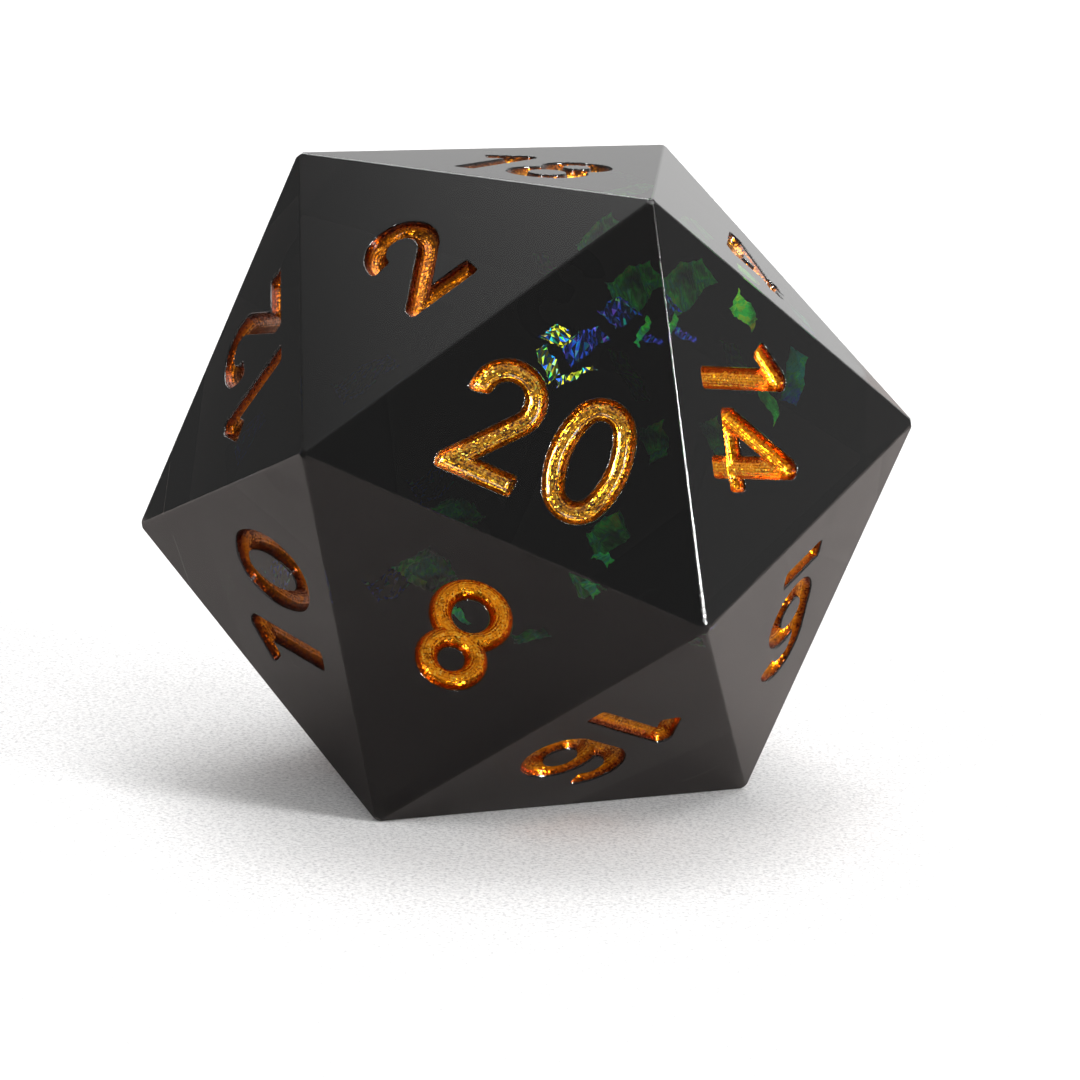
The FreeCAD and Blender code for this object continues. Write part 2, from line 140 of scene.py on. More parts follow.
LAYOUT = {
    20: [("2", -1.65, 1.30), ("0", 1.37, 1.30)],
    14: [("1", -1.17, 1.27), ("4", 1.05, 1.27)],
    10: [("1", -1.25, 1.30), ("0", 1.33, 1.30)],
    16: [("1", -1.28, 1.30), ("6", 1.10, 1.30)],
    12: [("1", -1.15, 1.30), ("2", 1.32, 1.30)],
    18: [("1", -1.20, 1.30), ("8", 1.15, 1.30)],
    11: [("1", -0.55, 1.30), ("1", 1.20, 1.30)],
    13: [("1", -1.20, 1.30), ("3", 1.15, 1.30)],
    15: [("1", -1.20, 1.30), ("5", 1.20, 1.30)],
    17: [("1", -1.20, 1.30), ("7", 1.20, 1.30)],
    19: [("1", -1.20, 1.30), ("9", 1.15, 1.30)],
    1: [("1", 0.25, 1.75)], 2: [("2", 0.0, 2.02)], 3: [("3", 0.0, 1.80)], 4: [("4", 0.0, 1.80)],
    5: [("5", 0.0, 1.80)], 7: [("7", 0.0, 1.90)], 8: [("8", 0.0, 1.68)],
    6: [("6", 0.0, 2.45), ("bar", 0.0, 1.72)], 9: [("9", 0.0, 2.45), ("bar", 0.0, 1.72)],
}

# Profiles, as (distance in from the stroke's outline, depth).
GROOVE = [(-0.030, 0.0), (-0.0150, -0.0040), (-0.0040, -0.0150), (0.0, -0.030), (0.090, -0.300),
          (0.160, -0.400), (0.250, -0.472), (0.350, -0.500)]
PAINT = [(-0.008, -0.030), (0.008, -0.044), (0.020, -0.078), (0.040, -0.135), (0.080, -0.232), (0.112, -0.262),
         (0.225, -0.314), (0.275, -0.335), (0.350, -0.350)]
BACK = [(-0.008, -0.030), (0.000, -0.062), (0.086, -0.312), (0.156, -0.412), (0.246, -0.484), (0.350, -0.512)]


def table(profile, h):
    return np.interp(h, [q[0] for q in profile], [q[1] for q in profile])


def stroke_field(st, X, Y):
    """Distance inside the stroke's outline; negative outside."""
    kind = st[0]
    if kind == "C":
        _, inner, x0, y0, x1, y1 = st
        return np.minimum.reduce([stroke_field(inner, X, Y), X - x0, x1 - X, Y - y0, y1 - Y])
    if kind == "D":
        return STROKE - np.hypot(X - st[1], Y - st[2])
    if kind == "L":
        _, x0, y0, x1, y1, e0, e1 = st
        d = np.array([x1 - x0, y1 - y0])
        length = np.linalg.norm(d)
        d /= length
        t = (X - x0) * d[0] + (Y - y0) * d[1]
        u = -(X - x0) * d[1] + (Y - y0) * d[0]
        h = STROKE - np.abs(u)
        h = np.minimum(h, t) if e0 == "f" else np.where(t < -1e-9, -9.0, h)
        h = np.minimum(h, length - t) if e1 == "f" else np.where(t > length + 1e-9, -9.0, h)
        return h
    _, cx, cy, r, a0, a1, e0, e1 = st
    R = np.hypot(X - cx, Y - cy)
    h = STROKE - np.abs(R - r)
    if a1 - a0 >= 359.9:
        return h
    mid = math.radians((a0 + a1) / 2.0)
    half = math.radians((a1 - a0) / 2.0)
    rel = np.arctan2(Y - cy, X - cx) - mid
    rel = (rel + math.pi) % (2 * math.pi) - math.pi
    for sign, e in ((-1, e0), (1, e1)):
        gap = half - sign * rel            # angle left before this end
        inside = R * np.sin(np.clip(gap, -math.pi / 2, math.pi / 2))
        if e == "f":
            h = np.minimum(h, inside)
        else:
            h = np.where(gap < -1e-9, -9.0, h)
    return h


STEP = 0.03


def contours(H, x0, y0, step, level):
    """Closed polylines of H = level on a regular grid, by marching squares."""
    inside = H > level
    ny, nx = H.shape
    points = {}
    nexts = {}

    def edge_point(key):
        i, j, axis = key
        a = H[j, i]
        b = H[j, i + 1] if axis == 0 else H[j + 1, i]
        t = (level - a) / (b - a)
        return (x0 + (i + (t if axis == 0 else 0.0)) * step, y0 + (j + (t if axis == 1 else 0.0)) * step)

    code = (inside[:-1, :-1] * 1 + inside[:-1, 1:] * 2 + inside[1:, 1:] * 4 + inside[1:, :-1] * 8)
    js, is_ = np.nonzero((code > 0) & (code < 15))
    S, E, N, W = 0, 1, 2, 3
    links = {1: [(W, S)], 2: [(S, E)], 3: [(W, E)], 4: [(E, N)], 6: [(S, N)], 7: [(W, N)], 8: [(N, W)],
             9: [(N, S)], 11: [(N, E)], 12: [(E, W)], 13: [(E, S)], 14: [(S, W)], 5: [(W, S), (E, N)],
             10: [(S, E), (N, W)]}
    for j, i in zip(js.tolist(), is_.tolist()):
        keys = {S: (i, j, 0), E: (i + 1, j, 1), N: (i, j + 1, 0), W: (i, j, 1)}
        for a, b in links[int(code[j, i])]:
            nexts.setdefault(keys[a], []).append(keys[b])
            nexts.setdefault(keys[b], []).append(keys[a])
            points.setdefault(keys[a], None)
            points.setdefault(keys[b], None)
    for key in points:
        points[key] = edge_point(key)
    loops, seen = [], set()
    for start in sorted(points):
        if start in seen:
            continue
        loop, key, before = [], start, None
        while key not in seen:
            seen.add(key)
            loop.append(points[key])
            ways = [k for k in nexts[key] if k != before and k not in seen]
            before = key
            if not ways:
                break
            key = ways[0]
        if len(loop) >= 6:
            loops.append(np.array(loop))
    return loops


def thin(loop, tol, longest):
    """Drops points of a closed polyline that lie within tol of the line between their neighbours kept."""
    n = len(loop)
    far = int(np.argmax(np.hypot(*(loop - loop[0]).T)))
    keep = np.zeros(n, bool)

    def split(a, b):
        if b - a < 2:
            return
        p, q = loop[a % n], loop[b % n]
        idx = np.arange(a + 1, b)
        pts = loop[idx % n]
        d = q - p
        length = max(np.hypot(*d), 1e-12)
        off = np.abs(d[0] * (pts[:, 1] - p[1]) - d[1] * (pts[:, 0] - p[0])) / length
        k = int(np.argmax(off))
        if off[k] > tol or length > longest:
            m = idx[k] if off[k] > tol else (a + b) // 2
            keep[m % n] = True
            split(a, m)
            split(m, b)

    keep[0] = keep[far] = True
    split(0, far)
    split(far, n)
    return loop[keep]


class Glyph:
    """A digit's field on a fine grid, with rounded outer corners, and its gradient."""

    def __init__(self, name):
        strokes = DIGIT[name]
        self.x0, self.y0 = -2.1, -0.75
        nx, ny = int(4.2 / STEP) + 1, int(5.4 / STEP) + 1
        X, Y = np.meshgrid(self.x0 + np.arange(nx) * STEP, self.y0 + np.arange(ny) * STEP)
        raw = np.maximum.reduce([stroke_field(s, X, Y) for s in strokes])
        if name == "bar":
            raw = np.minimum(raw, 9.0)
        # round the outer corners: open the outline with a disc of END_ROUND
        core = [np.vstack([c, c[:1]]) for c in contours(raw, self.x0, self.y0, STEP, END_ROUND)]
        A = np.vstack([c[:-1] for c in core])
        B = np.vstack([c[1:] for c in core])
        near = np.full(X.shape, 9.0)
        need = (raw < END_ROUND) & (raw > -8.0)
        need |= raw <= -8.0
        pts = np.stack([X[need], Y[need]], 1)
        best = np.full(len(pts), 9.0)
        D = B - A
        LL = np.maximum((D ** 2).sum(1), 1e-12)
        for k in range(0, len(pts), 2000):
            P = pts[k:k + 2000]
            W = P[:, None, :] - A[None]
            t = np.clip((W * D[None]).sum(2) / LL[None], 0, 1)
            best[k:k + 2000] = np.sqrt((((W - t[..., None] * D[None])) ** 2).sum(2)).min(1)
        near[need] = best
        self.H = np.where(need, END_ROUND - near, raw)
        gy, gx = np.gradient(self.H, STEP)
        self.GX, self.GY = gx, gy
        self.ny, self.nx = self.H.shape

    def at(self, field, x, y):
        u = np.clip((np.asarray(x) - self.x0) / STEP, 0, self.nx - 1.001)
        v = np.clip((np.asarray(y) - self.y0) / STEP, 0, self.ny - 1.001)
        i, j = u.astype(int), v.astype(int)
        a, b = u - i, v - j
        return (field[j, i] * (1 - a) * (1 - b) + field[j, i + 1] * a * (1 - b)
                + field[j + 1, i] * (1 - a) * b + field[j + 1, i + 1] * a * b)

    def loops(self, level, tol=0.0015, longest=0.4):
        return [thin(c, tol, longest) for c in contours(self.H, self.x0, self.y0, STEP, level)]


GLYPH = {name: Glyph(name) for name in DIGIT}


def blur(F, n):
    """n passes of a 1-2-1 blur on a grid."""
    for _ in range(n):
        P = np.pad(F, 1, mode="edge")
        F = (P[1:-1, :-2] + 2 * P[1:-1, 1:-1] + P[1:-1, 2:]) / 4.0
        P = np.pad(F, 1, mode="edge")
        F = (P[:-2, 1:-1] + 2 * P[1:-1, 1:-1] + P[2:, 1:-1]) / 4.0
    return F


def cdt(points, edges, kind=0):
    """Constrained Delaunay triangles; returns points, triangles and, per point, the input point or -1."""
    out = delaunay_2d_cdt([Vector((float(p[0]), float(p[1]))) for p in points], edges, [], kind, 1e-7, True)
    verts, _, faces, orig = out[0], out[1], out[2], out[3]
    co = np.array([(v[0], v[1]) for v in verts])
    src = np.array([o[0] if o else -1 for o in orig])
    return co, [tuple(f) for f in faces], src


def trimmed(T, rim):
    """The triangles within the rim: any that can be reached from outside without crossing it are dropped."""
    T = list(T)
    while True:
        count = {}
        for t in T:
            for p, q in ((t[0], t[1]), (t[1], t[2]), (t[2], t[0])):
                key = (p, q) if p < q else (q, p)
                count[key] = count.get(key, 0) + 1
        keep = []
        for t in T:
            out = False
            for p, q in ((t[0], t[1]), (t[1], t[2]), (t[2], t[0])):
                key = (p, q) if p < q else (q, p)
                if count[key] == 1 and key not in rim:
                    out = True
            if not out:
                keep.append(t)
        if len(keep) == len(T):
            return T
        T = keep


def regions(T, walls):
    """Number of the region each triangle lies in, the regions being parted by the wall edges."""
    root = list(range(len(T)))

    def find(i):
        while root[i] != i:
            root[i] = root[root[i]]
            i = root[i]
        return i

    seen = {}
    for i, (a, b, c) in enumerate(T):
        for p, q in ((a, b), (b, c), (c, a)):
            key = (p, q) if p < q else (q, p)
            if key in walls:
                continue
            if key in seen:
                root[find(i)] = find(seen[key])
            else:
                seen[key] = i
    return np.array([find(i) for i in range(len(T))])


def put_mesh(name, verts, faces, normals=None, smooth=True):
    """A mesh object from millimetre points in the row frame."""
    me = bpy.data.meshes.new(name)
    me.from_pydata([tuple(v) for v in (np.asarray(verts) * MM).tolist()], [], [tuple(f) for f in faces])
    me.validate(verbose=False)
    me.polygons.foreach_set("use_smooth", [smooth] * len(me.polygons))
    me.update()
    if normals is not None:
        me.normals_split_custom_set_from_vertices([tuple(n) for n in np.asarray(normals).tolist()])
    ob = bpy.data.objects.new(name, me)
    bpy.context.scene.collection.objects.link(ob)
    return ob


# ----------------------------------------------------------------- resin body
class Builder:
    """Collects points and triangles, merging points that coincide."""

    def __init__(self):
        self.co, self.no, self.faces, self.index = [], [], [], {}

    def add(self, p, n):
        key = (round(p[0] * 20000), round(p[1] * 20000), round(p[2] * 20000))
        for dx in (0, -1, 1):
            for dy in (0, -1, 1):
                for dz in (0, -1, 1):
                    k = (key[0] + dx, key[1] + dy, key[2] + dz)
                    if k in self.index:
                        return self.index[k]
        self.index[key] = len(self.co)
        self.co.append(np.asarray(p, float))
        self.no.append(np.asarray(n, float))
        return len(self.co) - 1

    def tri(self, a, b, c):
        if a != b and b != c and a != c:
            self.faces.append((a, b, c))


EDGE_SET = EDGE_R * math.tan(math.acos(math.sqrt(5.0) / 3.0) / 2.0)    # where the eased edge meets the face
TIP_SET = 0.17                                                       # how far a rounded tip reaches along its edges
TIP_REACH = {"e": 0.26}
# Edge e-b is rubbed a little wider towards e.
EDGE_WEAR = {frozenset("be"): ("b", [(0.0, 0.62), (0.35, 0.85), (0.7, 1.25), (1.0, 1.85)])}
ALONG = [0.0, 0.05, 0.10, 0.16, 0.24, 0.36, 0.6, 1.1, 2.0, 3.4, 5.0]
# Section of an eased edge: how far the surface has turned from one face to the other, at even steps in it,
# nearly flat in the middle as a polisher leaves it.
TURN = [0.0, 0.16, 0.31, 0.41, 0.47, 0.53, 0.59, 0.69, 0.84, 1.0]
SPAN = [0.07, 0.08, 0.11, 0.16, 0.16, 0.16, 0.11, 0.08, 0.07]

NORMAL = {}
FACE_OF = {}
for number in range(1, 21):
    NORMAL[number] = face_axes(number)[3]
    FACE_OF[frozenset(face_corners(number))] = number


def edge_ts(p, q):
    """Places along the edge from corner p to corner q, measured from p."""
    t0, t1 = TIP_REACH.get(p, TIP_SET), TIP_REACH.get(q, TIP_SET)
    free = EDGE - t0 - t1
    ts = [t for t in ALONG if t < free / 2 - 0.4]
    return [t0 + t for t in ts] + [t0 + free / 2] + [EDGE - t1 - t for t in reversed(ts)]


def edge_set(p, q, t):
    """How far the eased edge reaches into each face at t from corner p."""
    wear = EDGE_WEAR.get(frozenset((p, q)))
    if not wear:
        return EDGE_SET
    start, curve = wear
    f = t / EDGE if p == start else 1.0 - t / EDGE
    return EDGE_SET * float(np.interp(f, [c[0] for c in curve], [c[1] for c in curve]))


def side_points(p, q, into, ts=None):
    """Points of the flat part of a face beside the edge p-q; into points into the face."""
    P, Q = CORNER[p], CORNER[q]
    d = unit(Q - P)
    return [P + d * t + into * edge_set(p, q, t) for t in (ts or edge_ts(p, q))]


build = Builder()
CUT = 4                  # steps along the cut corner of a flat face

for number in range(1, 21):
    o, x, y, z = face_axes(number)
    letters = face_corners(number)
    middle = sum(CORNER[s] for s in letters) / 3.0
    sides = []
    for k in range(3):
        p, q = letters[k], letters[(k + 1) % 3]
        d = unit(CORNER[q] - CORNER[p])
        into = unit(np.cross(z, d))
        sides.append(side_points(p, q, into))
    ring_pts = []
    for k in range(3):
        ring_pts += sides[k]
        e, f = sides[k][-1], sides[(k + 1) % 3][0]
        ring_pts += [e + (f - e) * j / CUT for j in range(1, CUT)]
    pts = [np.array([(q - o) @ x, (q - o) @ y]) for q in ring_pts]
    level = [0] * len(pts)
    n = len(pts)
    edges = [(i, (i + 1) % n) for i in range(n)]
    for name, gx, gy in LAYOUT[number]:
        g = GLYPH[name]
        for li, (h, depth) in enumerate(GROOVE[:-1]):
            for loop in g.loops(h + (1e-4 if li else 0.0)):
                base = len(pts)
                for q in loop:
                    pts.append(q + np.array([gx, gy]))
                    level.append((name, gx, gy, li))
                edges += [(base + i, base + (i + 1) % len(loop)) for i in range(len(loop))]
    co, faces, src = cdt(pts, edges, 1)
    ids = []
    for (px, py), s in zip(co, src):
        lv = level[s] if s >= 0 else 0
        if lv == 0:
            h, nn = 0.0, np.array([0, 0, 1.0])
        else:
            name, gx, gy, li = lv
            g = GLYPH[name]
            h = GROOVE[li][1]
            gr = np.array([float(g.at(g.GX, px - gx, py - gy)), float(g.at(g.GY, px - gx, py - gy))])
            gr = gr / max(np.linalg.norm(gr), 1e-6)
            if li == 0:
                slope = 0.0
            elif li == 3:
                slope = -3.0
            else:
                a, b = GROOVE[li - 1], GROOVE[li + 1]
                slope = (b[1] - a[1]) / (b[0] - a[0])
            nn = unit([-slope * gr[0], -slope * gr[1], 1.0])
        P = o + x * px + y * py + z * h
        ids.append(build.add(P, x * nn[0] + y * nn[1] + z * nn[2]))
    at_out = {int(k): i for i, k in enumerate(src) if k >= 0}
    rim_edges = {tuple(sorted((at_out[i], at_out[(i + 1) % n]))) for i in range(n)}
    tris = trimmed([(f[0], f[k], f[k + 1]) for f in faces for k in range(1, len(f) - 1)], rim_edges)
    for a, b, c in tris:
        A, B, C = co[a], co[b], co[c]
        area = (B[0] - A[0]) * (C[1] - A[1]) - (B[1] - A[1]) * (C[0] - A[0])
        build.tri(ids[a], ids[b], ids[c]) if area >= 0 else build.tri(ids[a], ids[c], ids[b])

FLAT_COUNT = len(build.co)
EDGES = set()
for number in range(1, 21):
    L = face_corners(number)
    for k in range(3):
        EDGES.add(frozenset((L[k], L[(k + 1) % 3])))


def edge_faces(e):
    return sorted(num for key, num in FACE_OF.items() if e <= key)


def section_points(A, B, n0, n1):
    """Points and normals of the eased edge between the flat faces' points A and B."""
    ang = math.acos(float(np.clip(n0 @ n1, -1, 1)))
    chord = unit(B - A)
    up = unit(n0 + n1)
    xs, zs = [0.0], [0.0]
    for k, l in enumerate(SPAN):
        phi = ang / 2.0 - ang * (TURN[k] + TURN[k + 1]) / 2.0
        xs.append(xs[-1] + l * math.cos(phi))
        zs.append(zs[-1] + l * math.sin(phi))
    s = np.linalg.norm(B - A) / xs[-1]
    out = []
    for k in range(len(TURN)):
        w = TURN[k]
        nn = (math.sin((1 - w) * ang) * n0 + math.sin(w * ang) * n1) / math.sin(ang)
        out.append((A + chord * xs[k] * s + up * zs[k] * s, nn))
    return out


WEAR = {frozenset("be"): 1.0, frozenset("ab"): 0.5}      # how scuffed an edge is
scuffed = {}
ENDS = {}
for e in sorted(EDGES, key=sorted):
    p, q = sorted(e)
    f0, f1 = edge_faces(e)
    n0, n1 = NORMAL[f0], NORMAL[f1]
    P, Q = CORNER[p], CORNER[q]
    d = unit(Q - P)
    into = []
    for num in (f0, f1):
        w = np.cross(NORMAL[num], d)
        m = sum(CORNER[s] for s in face_corners(num)) / 3.0
        into.append(unit(w) if (m - P) @ w > 0 else -unit(w))
    ts = edge_ts(p, q)
    A, B = side_points(p, q, into[0], ts), side_points(p, q, into[1], ts)
    rows = []
    for a_, b_ in zip(A, B):
        rows.append([(build.add(pt, nn), nn) for pt, nn in section_points(a_, b_, n0, n1)])
    for t, row in zip(ts, rows):
        for i, _ in row[1:-1]:
            amount = WEAR.get(e, 0.08)
            if e == frozenset("be"):
                amount = 0.10 + 0.90 * (t / EDGE) ** 1.6
            scuffed[i] = max(scuffed.get(i, 0.0), amount)
    ENDS[(p, q, f0, f1)] = rows[0]
    ENDS[(q, p, f0, f1)] = rows[-1]
    for i in range(len(rows) - 1):
        for k in range(len(TURN) - 1):
            a, b, c, dd = rows[i][k][0], rows[i][k + 1][0], rows[i + 1][k + 1][0], rows[i + 1][k][0]
            ctr = build.co[a] + build.co[b] + build.co[c] + build.co[dd]
            nrm = np.cross(build.co[b] - build.co[a], build.co[dd] - build.co[a])
            if nrm @ ctr > 0:
                build.tri(a, b, c); build.tri(a, c, dd)
            else:
                build.tri(a, c, b); build.tri(a, dd, c)

for s in sorted(CORNER):
    axis = unit(CORNER[s])
    u = unit(np.cross(axis, [0.3, 0.5, 0.8]))
    v = np.cross(axis, u)
    around = [num for key, num in FACE_OF.items() if s in key]
    around.sort(key=lambda k: math.atan2(NORMAL[k] @ v, NORMAL[k] @ u))
    rim = []
    for k in range(5):
        fa, fb = around[k], around[(k + 1) % 5]
        common = (set(face_corners(fa)) & set(face_corners(fb))) - {s}
        other = common.pop()
        lo_f, hi_f = min(fa, fb), max(fa, fb)
        row = ENDS[(s, other, lo_f, hi_f)]
        row = row if fa == lo_f else row[::-1]
        if rim:
            prev = rim[-1]
            A, B = build.co[prev[0]], build.co[row[0][0]]
            for j in range(1, CUT):
                rim.append((build.add(A + (B - A) * j / CUT, NORMAL[fa]), NORMAL[fa]))
        rim += row
    A, B = build.co[rim[-1][0]], build.co[rim[0][0]]
    for j in range(1, CUT):
        rim.append((build.add(A + (B - A) * j / CUT, NORMAL[around[0]]), NORMAL[around[0]]))
    far = max(float(build.co[i] @ axis) for i, _ in rim)
    RINGS = 8
    rows = [[] for _ in range(RINGS)]
    blunt = min(CORNER_R - EDGE_R * (CORNER_R / IN_R - 1.0) - TIP_BLUNT + 0.02, CORNER_R - 0.09)
    C0 = axis * blunt
    for i, nn in rim:
        R = build.co[i]
        flat_dir = R - axis * (R @ axis)
        out_dir = unit(flat_dir)
        # where the tangent plane at the rim meets the plane across the tip
        a = ((R - C0) @ nn) / (out_dir @ nn)
        a = min(max(a, 0.15 * np.linalg.norm(flat_dir)), 0.85 * np.linalg.norm(flat_dir))
        K = C0 + out_dir * a
        for m in range(1, RINGS):
            f = 1.0 - m / RINGS
            pt = (1 - f) ** 2 * C0 + 2 * f * (1 - f) * K + f * f * R
            tan = 2 * (1 - f) * (K - C0) + 2 * f * (R - K)
            cross = np.cross(axis, out_dir)
            q = unit(np.cross(tan, cross))
            q = q if q @ axis > 0 else -q
            q = unit(q * (1 - f) + nn * f) if f > 0.5 else q
            rows[m].append(build.add(pt, q))
    rows[0] = [i for i, _ in rim]
    top = build.add(C0, axis)
    n = len(rim)

    def outward(a, b, c):
        nrm = np.cross(build.co[b] - build.co[a], build.co[c] - build.co[a])
        if nrm @ axis > 0:
            build.tri(a, b, c)
        else:
            build.tri(a, c, b)

    for i in range(n):
        j = (i + 1) % n
        for m in range(RINGS - 1):
            outward(rows[m][i], rows[m][j], rows[m + 1][j])
            outward(rows[m][i], rows[m + 1][j], rows[m + 1][i])
        outward(rows[RINGS - 1][i], rows[RINGS - 1][j], top)

CO = np.array(build.co) + MID
NO = np.array(build.no)
resin = put_mesh("resin_casting", CO, build.faces, NO)
worn = np.zeros(len(CO), np.float32)
worn[FLAT_COUNT:] = 0.15
for i, amount in scuffed.items():
    worn[i] = amount
at = resin.data.attributes.new("worn", "FLOAT", "POINT")
at.data.foreach_set("value", worn)

# ---------------------------------------------------------------- gold paint
PAINT_CELL = 0.055


def paint_shape(name):
    """Top and back of the paint in one digit, in the digit's own axes: points, triangles, normals, lay."""
    g = GLYPH[name]
    Z = table(PAINT, g.H)
    Z = np.where(g.H > 0.03, blur(Z, 3), Z)
    # paint settles a little unevenly along the groove
    X, Y = np.meshgrid(g.x0 + np.arange(g.nx) * STEP, g.y0 + np.arange(g.ny) * STEP)
    k = sum(ord(c) for c in name)
    lump = (np.sin(3.1 * X + 1.7 * Y + k) + np.sin(-2.3 * X + 4.1 * Y + 2.1 * k) + np.sin(6.3 * X - 5.2 * Y + k * 0.7)) / 3.0
    Z = Z + np.clip(g.H / 0.2, 0, 1) * 0.012 * lump
    gy, gx = np.gradient(Z, STEP)
    pts, edges, lvl = [], [], []
    for li, h in enumerate((-0.008, 0.010, 0.042, 0.080)):
        for loop in g.loops(h, 0.001, 0.12):
            base = len(pts)
            pts += list(loop)
            lvl += [li] * len(loop)
            edges += [(base + i, base + (i + 1) % len(loop)) for i in range(len(loop))]
    rng = np.random.default_rng(7 + k)
    xs = np.arange(g.x0, g.x0 + g.nx * STEP - STEP, PAINT_CELL)
    ys = np.arange(g.y0, g.y0 + g.ny * STEP - STEP, PAINT_CELL * 0.866)
    GX_, GY_ = np.meshgrid(xs, ys)
    GX_ = GX_ + np.where(np.arange(len(ys))[:, None] % 2, PAINT_CELL / 2, 0.0)
    inner = np.stack([GX_.ravel(), GY_.ravel()], 1)
    inner = inner[(inner[:, 0] < g.x0 + (g.nx - 2) * STEP) & (g.at(g.H, inner[:, 0], inner[:, 1]) > 0.105)]
    pts += [np.array(q) for q in inner]
    lvl += [9] * len(inner)
    co, faces, src = cdt(pts, edges)
    H = g.at(g.H, co[:, 0], co[:, 1])
    rim = np.array([s >= 0 and lvl[s] == 0 for s in src])
    T = np.array([(f[0], f[j], f[j + 1]) for f in faces for j in range(1, len(f) - 1)])
    A, B, C = co[T[:, 0]], co[T[:, 1]], co[T[:, 2]]
    m = (A + B + C) / 3.0
    area = (B[:, 0] - A[:, 0]) * (C[:, 1] - A[:, 1]) - (B[:, 1] - A[:, 1]) * (C[:, 0] - A[:, 0])
    back_of = {s_: i for i, s_ in enumerate(src) if s_ >= 0}
    walls = set()
    for a, b in edges:
        if lvl[a] == 0:
            i, j = back_of[a], back_of[b]
            walls.add((i, j) if i < j else (j, i))
    part = regions(T.tolist(), walls)
    height = g.at(g.H, m[:, 0], m[:, 1])
    weigh = np.abs(area) + 1e-12
    inside_ = {}
    for r in set(part.tolist()):
        sel = part == r
        inside_[r] = float((height[sel] * weigh[sel]).sum() / weigh[sel].sum()) > -0.003
    ok = np.array([inside_[r] for r in part.tolist()])
    T = np.where((area > 0)[:, None], T, T[:, [0, 2, 1]])[ok]
    keep = [tuple(t) for t in T.tolist()]
    used = sorted({i for t in keep for i in t})
    new = {o: i for i, o in enumerate(used)}
    co, H, rim = co[used], H[used], rim[used]
    tris = [tuple(new[i] for i in t) for t in keep]
    ztop = np.where(rim, PAINT[0][1], g.at(Z, co[:, 0], co[:, 1]))
    zback = np.where(rim, PAINT[0][1], table(BACK, H))
    nt = np.stack([-g.at(gx, co[:, 0], co[:, 1]), -g.at(gy, co[:, 0], co[:, 1]), np.ones(len(co))], 1)
    nt /= np.linalg.norm(nt, axis=1)[:, None]
    n = len(co)
    back_id = np.where(rim, np.arange(n), 0)
    extra = [i for i in range(n) if not rim[i]]
    for k, i in enumerate(extra):
        back_id[i] = n + k
    verts = np.vstack([np.column_stack([co, ztop]), np.column_stack([co[extra], zback[extra]])])
    slope = np.interp(H[extra], [0, 0.09, 0.16, 0.25, 0.35], [-3.0, -2.0, -1.0, -0.4, 0])
    gr = np.stack([g.at(g.GX, co[extra, 0], co[extra, 1]), g.at(g.GY, co[extra, 0], co[extra, 1])], 1)
    nb = np.column_stack([slope * gr[:, 0], slope * gr[:, 1], -np.ones(len(extra))])
    nb /= np.linalg.norm(nb, axis=1)[:, None]
    norms = np.vstack([nt, nb])
    faces = tris + [(int(back_id[a]), int(back_id[c]), int(back_id[b])) for a, b, c in tris]
    lay = np.concatenate([H, H[extra]])
    top = np.concatenate([np.ones(n), np.zeros(len(extra))])
    return verts, faces, norms, lay, top


SHAPE = {name: paint_shape(name) for name in DIGIT}


def paint_node(number, digit, count):
    if digit == "bar":
        return "paint_%02d_bar" % number
    if len(LAYOUT[number]) == 1 or LAYOUT[number][1][0] == "bar":
        return "paint_%02d_digit" % number
    return "paint_%02d_%s" % (number, "tens" if count == 1 else "units")


# Painted shade in each number: how far its paint is darkened and warmed, most in the numbers of the faces turned away
# from the light (2, 10, 12).
PAINTED_SHADE = {20: 0.0, 14: 0.0, 4: 0.0, 18: 0.0, 6: 0.1, 16: 0.1, 8: 0.0, 2: 0.93, 10: 1.0, 12: 1.0}
paints = []
for number in sorted(LAYOUT):
    o, x, y, z = face_axes(number)
    R = np.array([x, y, z])
    for count, (digit, gx, gy) in enumerate(LAYOUT[number], 1):
        verts, faces, norms, lay, top = SHAPE[digit]
        P = (verts + np.array([gx, gy, 0.0])) @ R + o + MID
        node = paint_node(number, digit, count)
        ob = put_mesh(node.replace("paint", "gold"), P, faces, norms @ R)
        at = ob.data.attributes.new("lay", "FLOAT", "POINT")
        at.data.foreach_set("value", np.asarray(lay, np.float32))
        # painted shade amount of each number
        at = ob.data.attributes.new("painted_shade", "FLOAT", "POINT")
        at.data.foreach_set("value", np.full(len(P), PAINTED_SHADE.get(number, 0.15 + 0.1 * (number % 4)), np.float32))
        at = ob.data.attributes.new("open_side", "FLOAT", "POINT")
        at.data.foreach_set("value", np.asarray(top, np.float32))
        paints.append((ob, node, number))

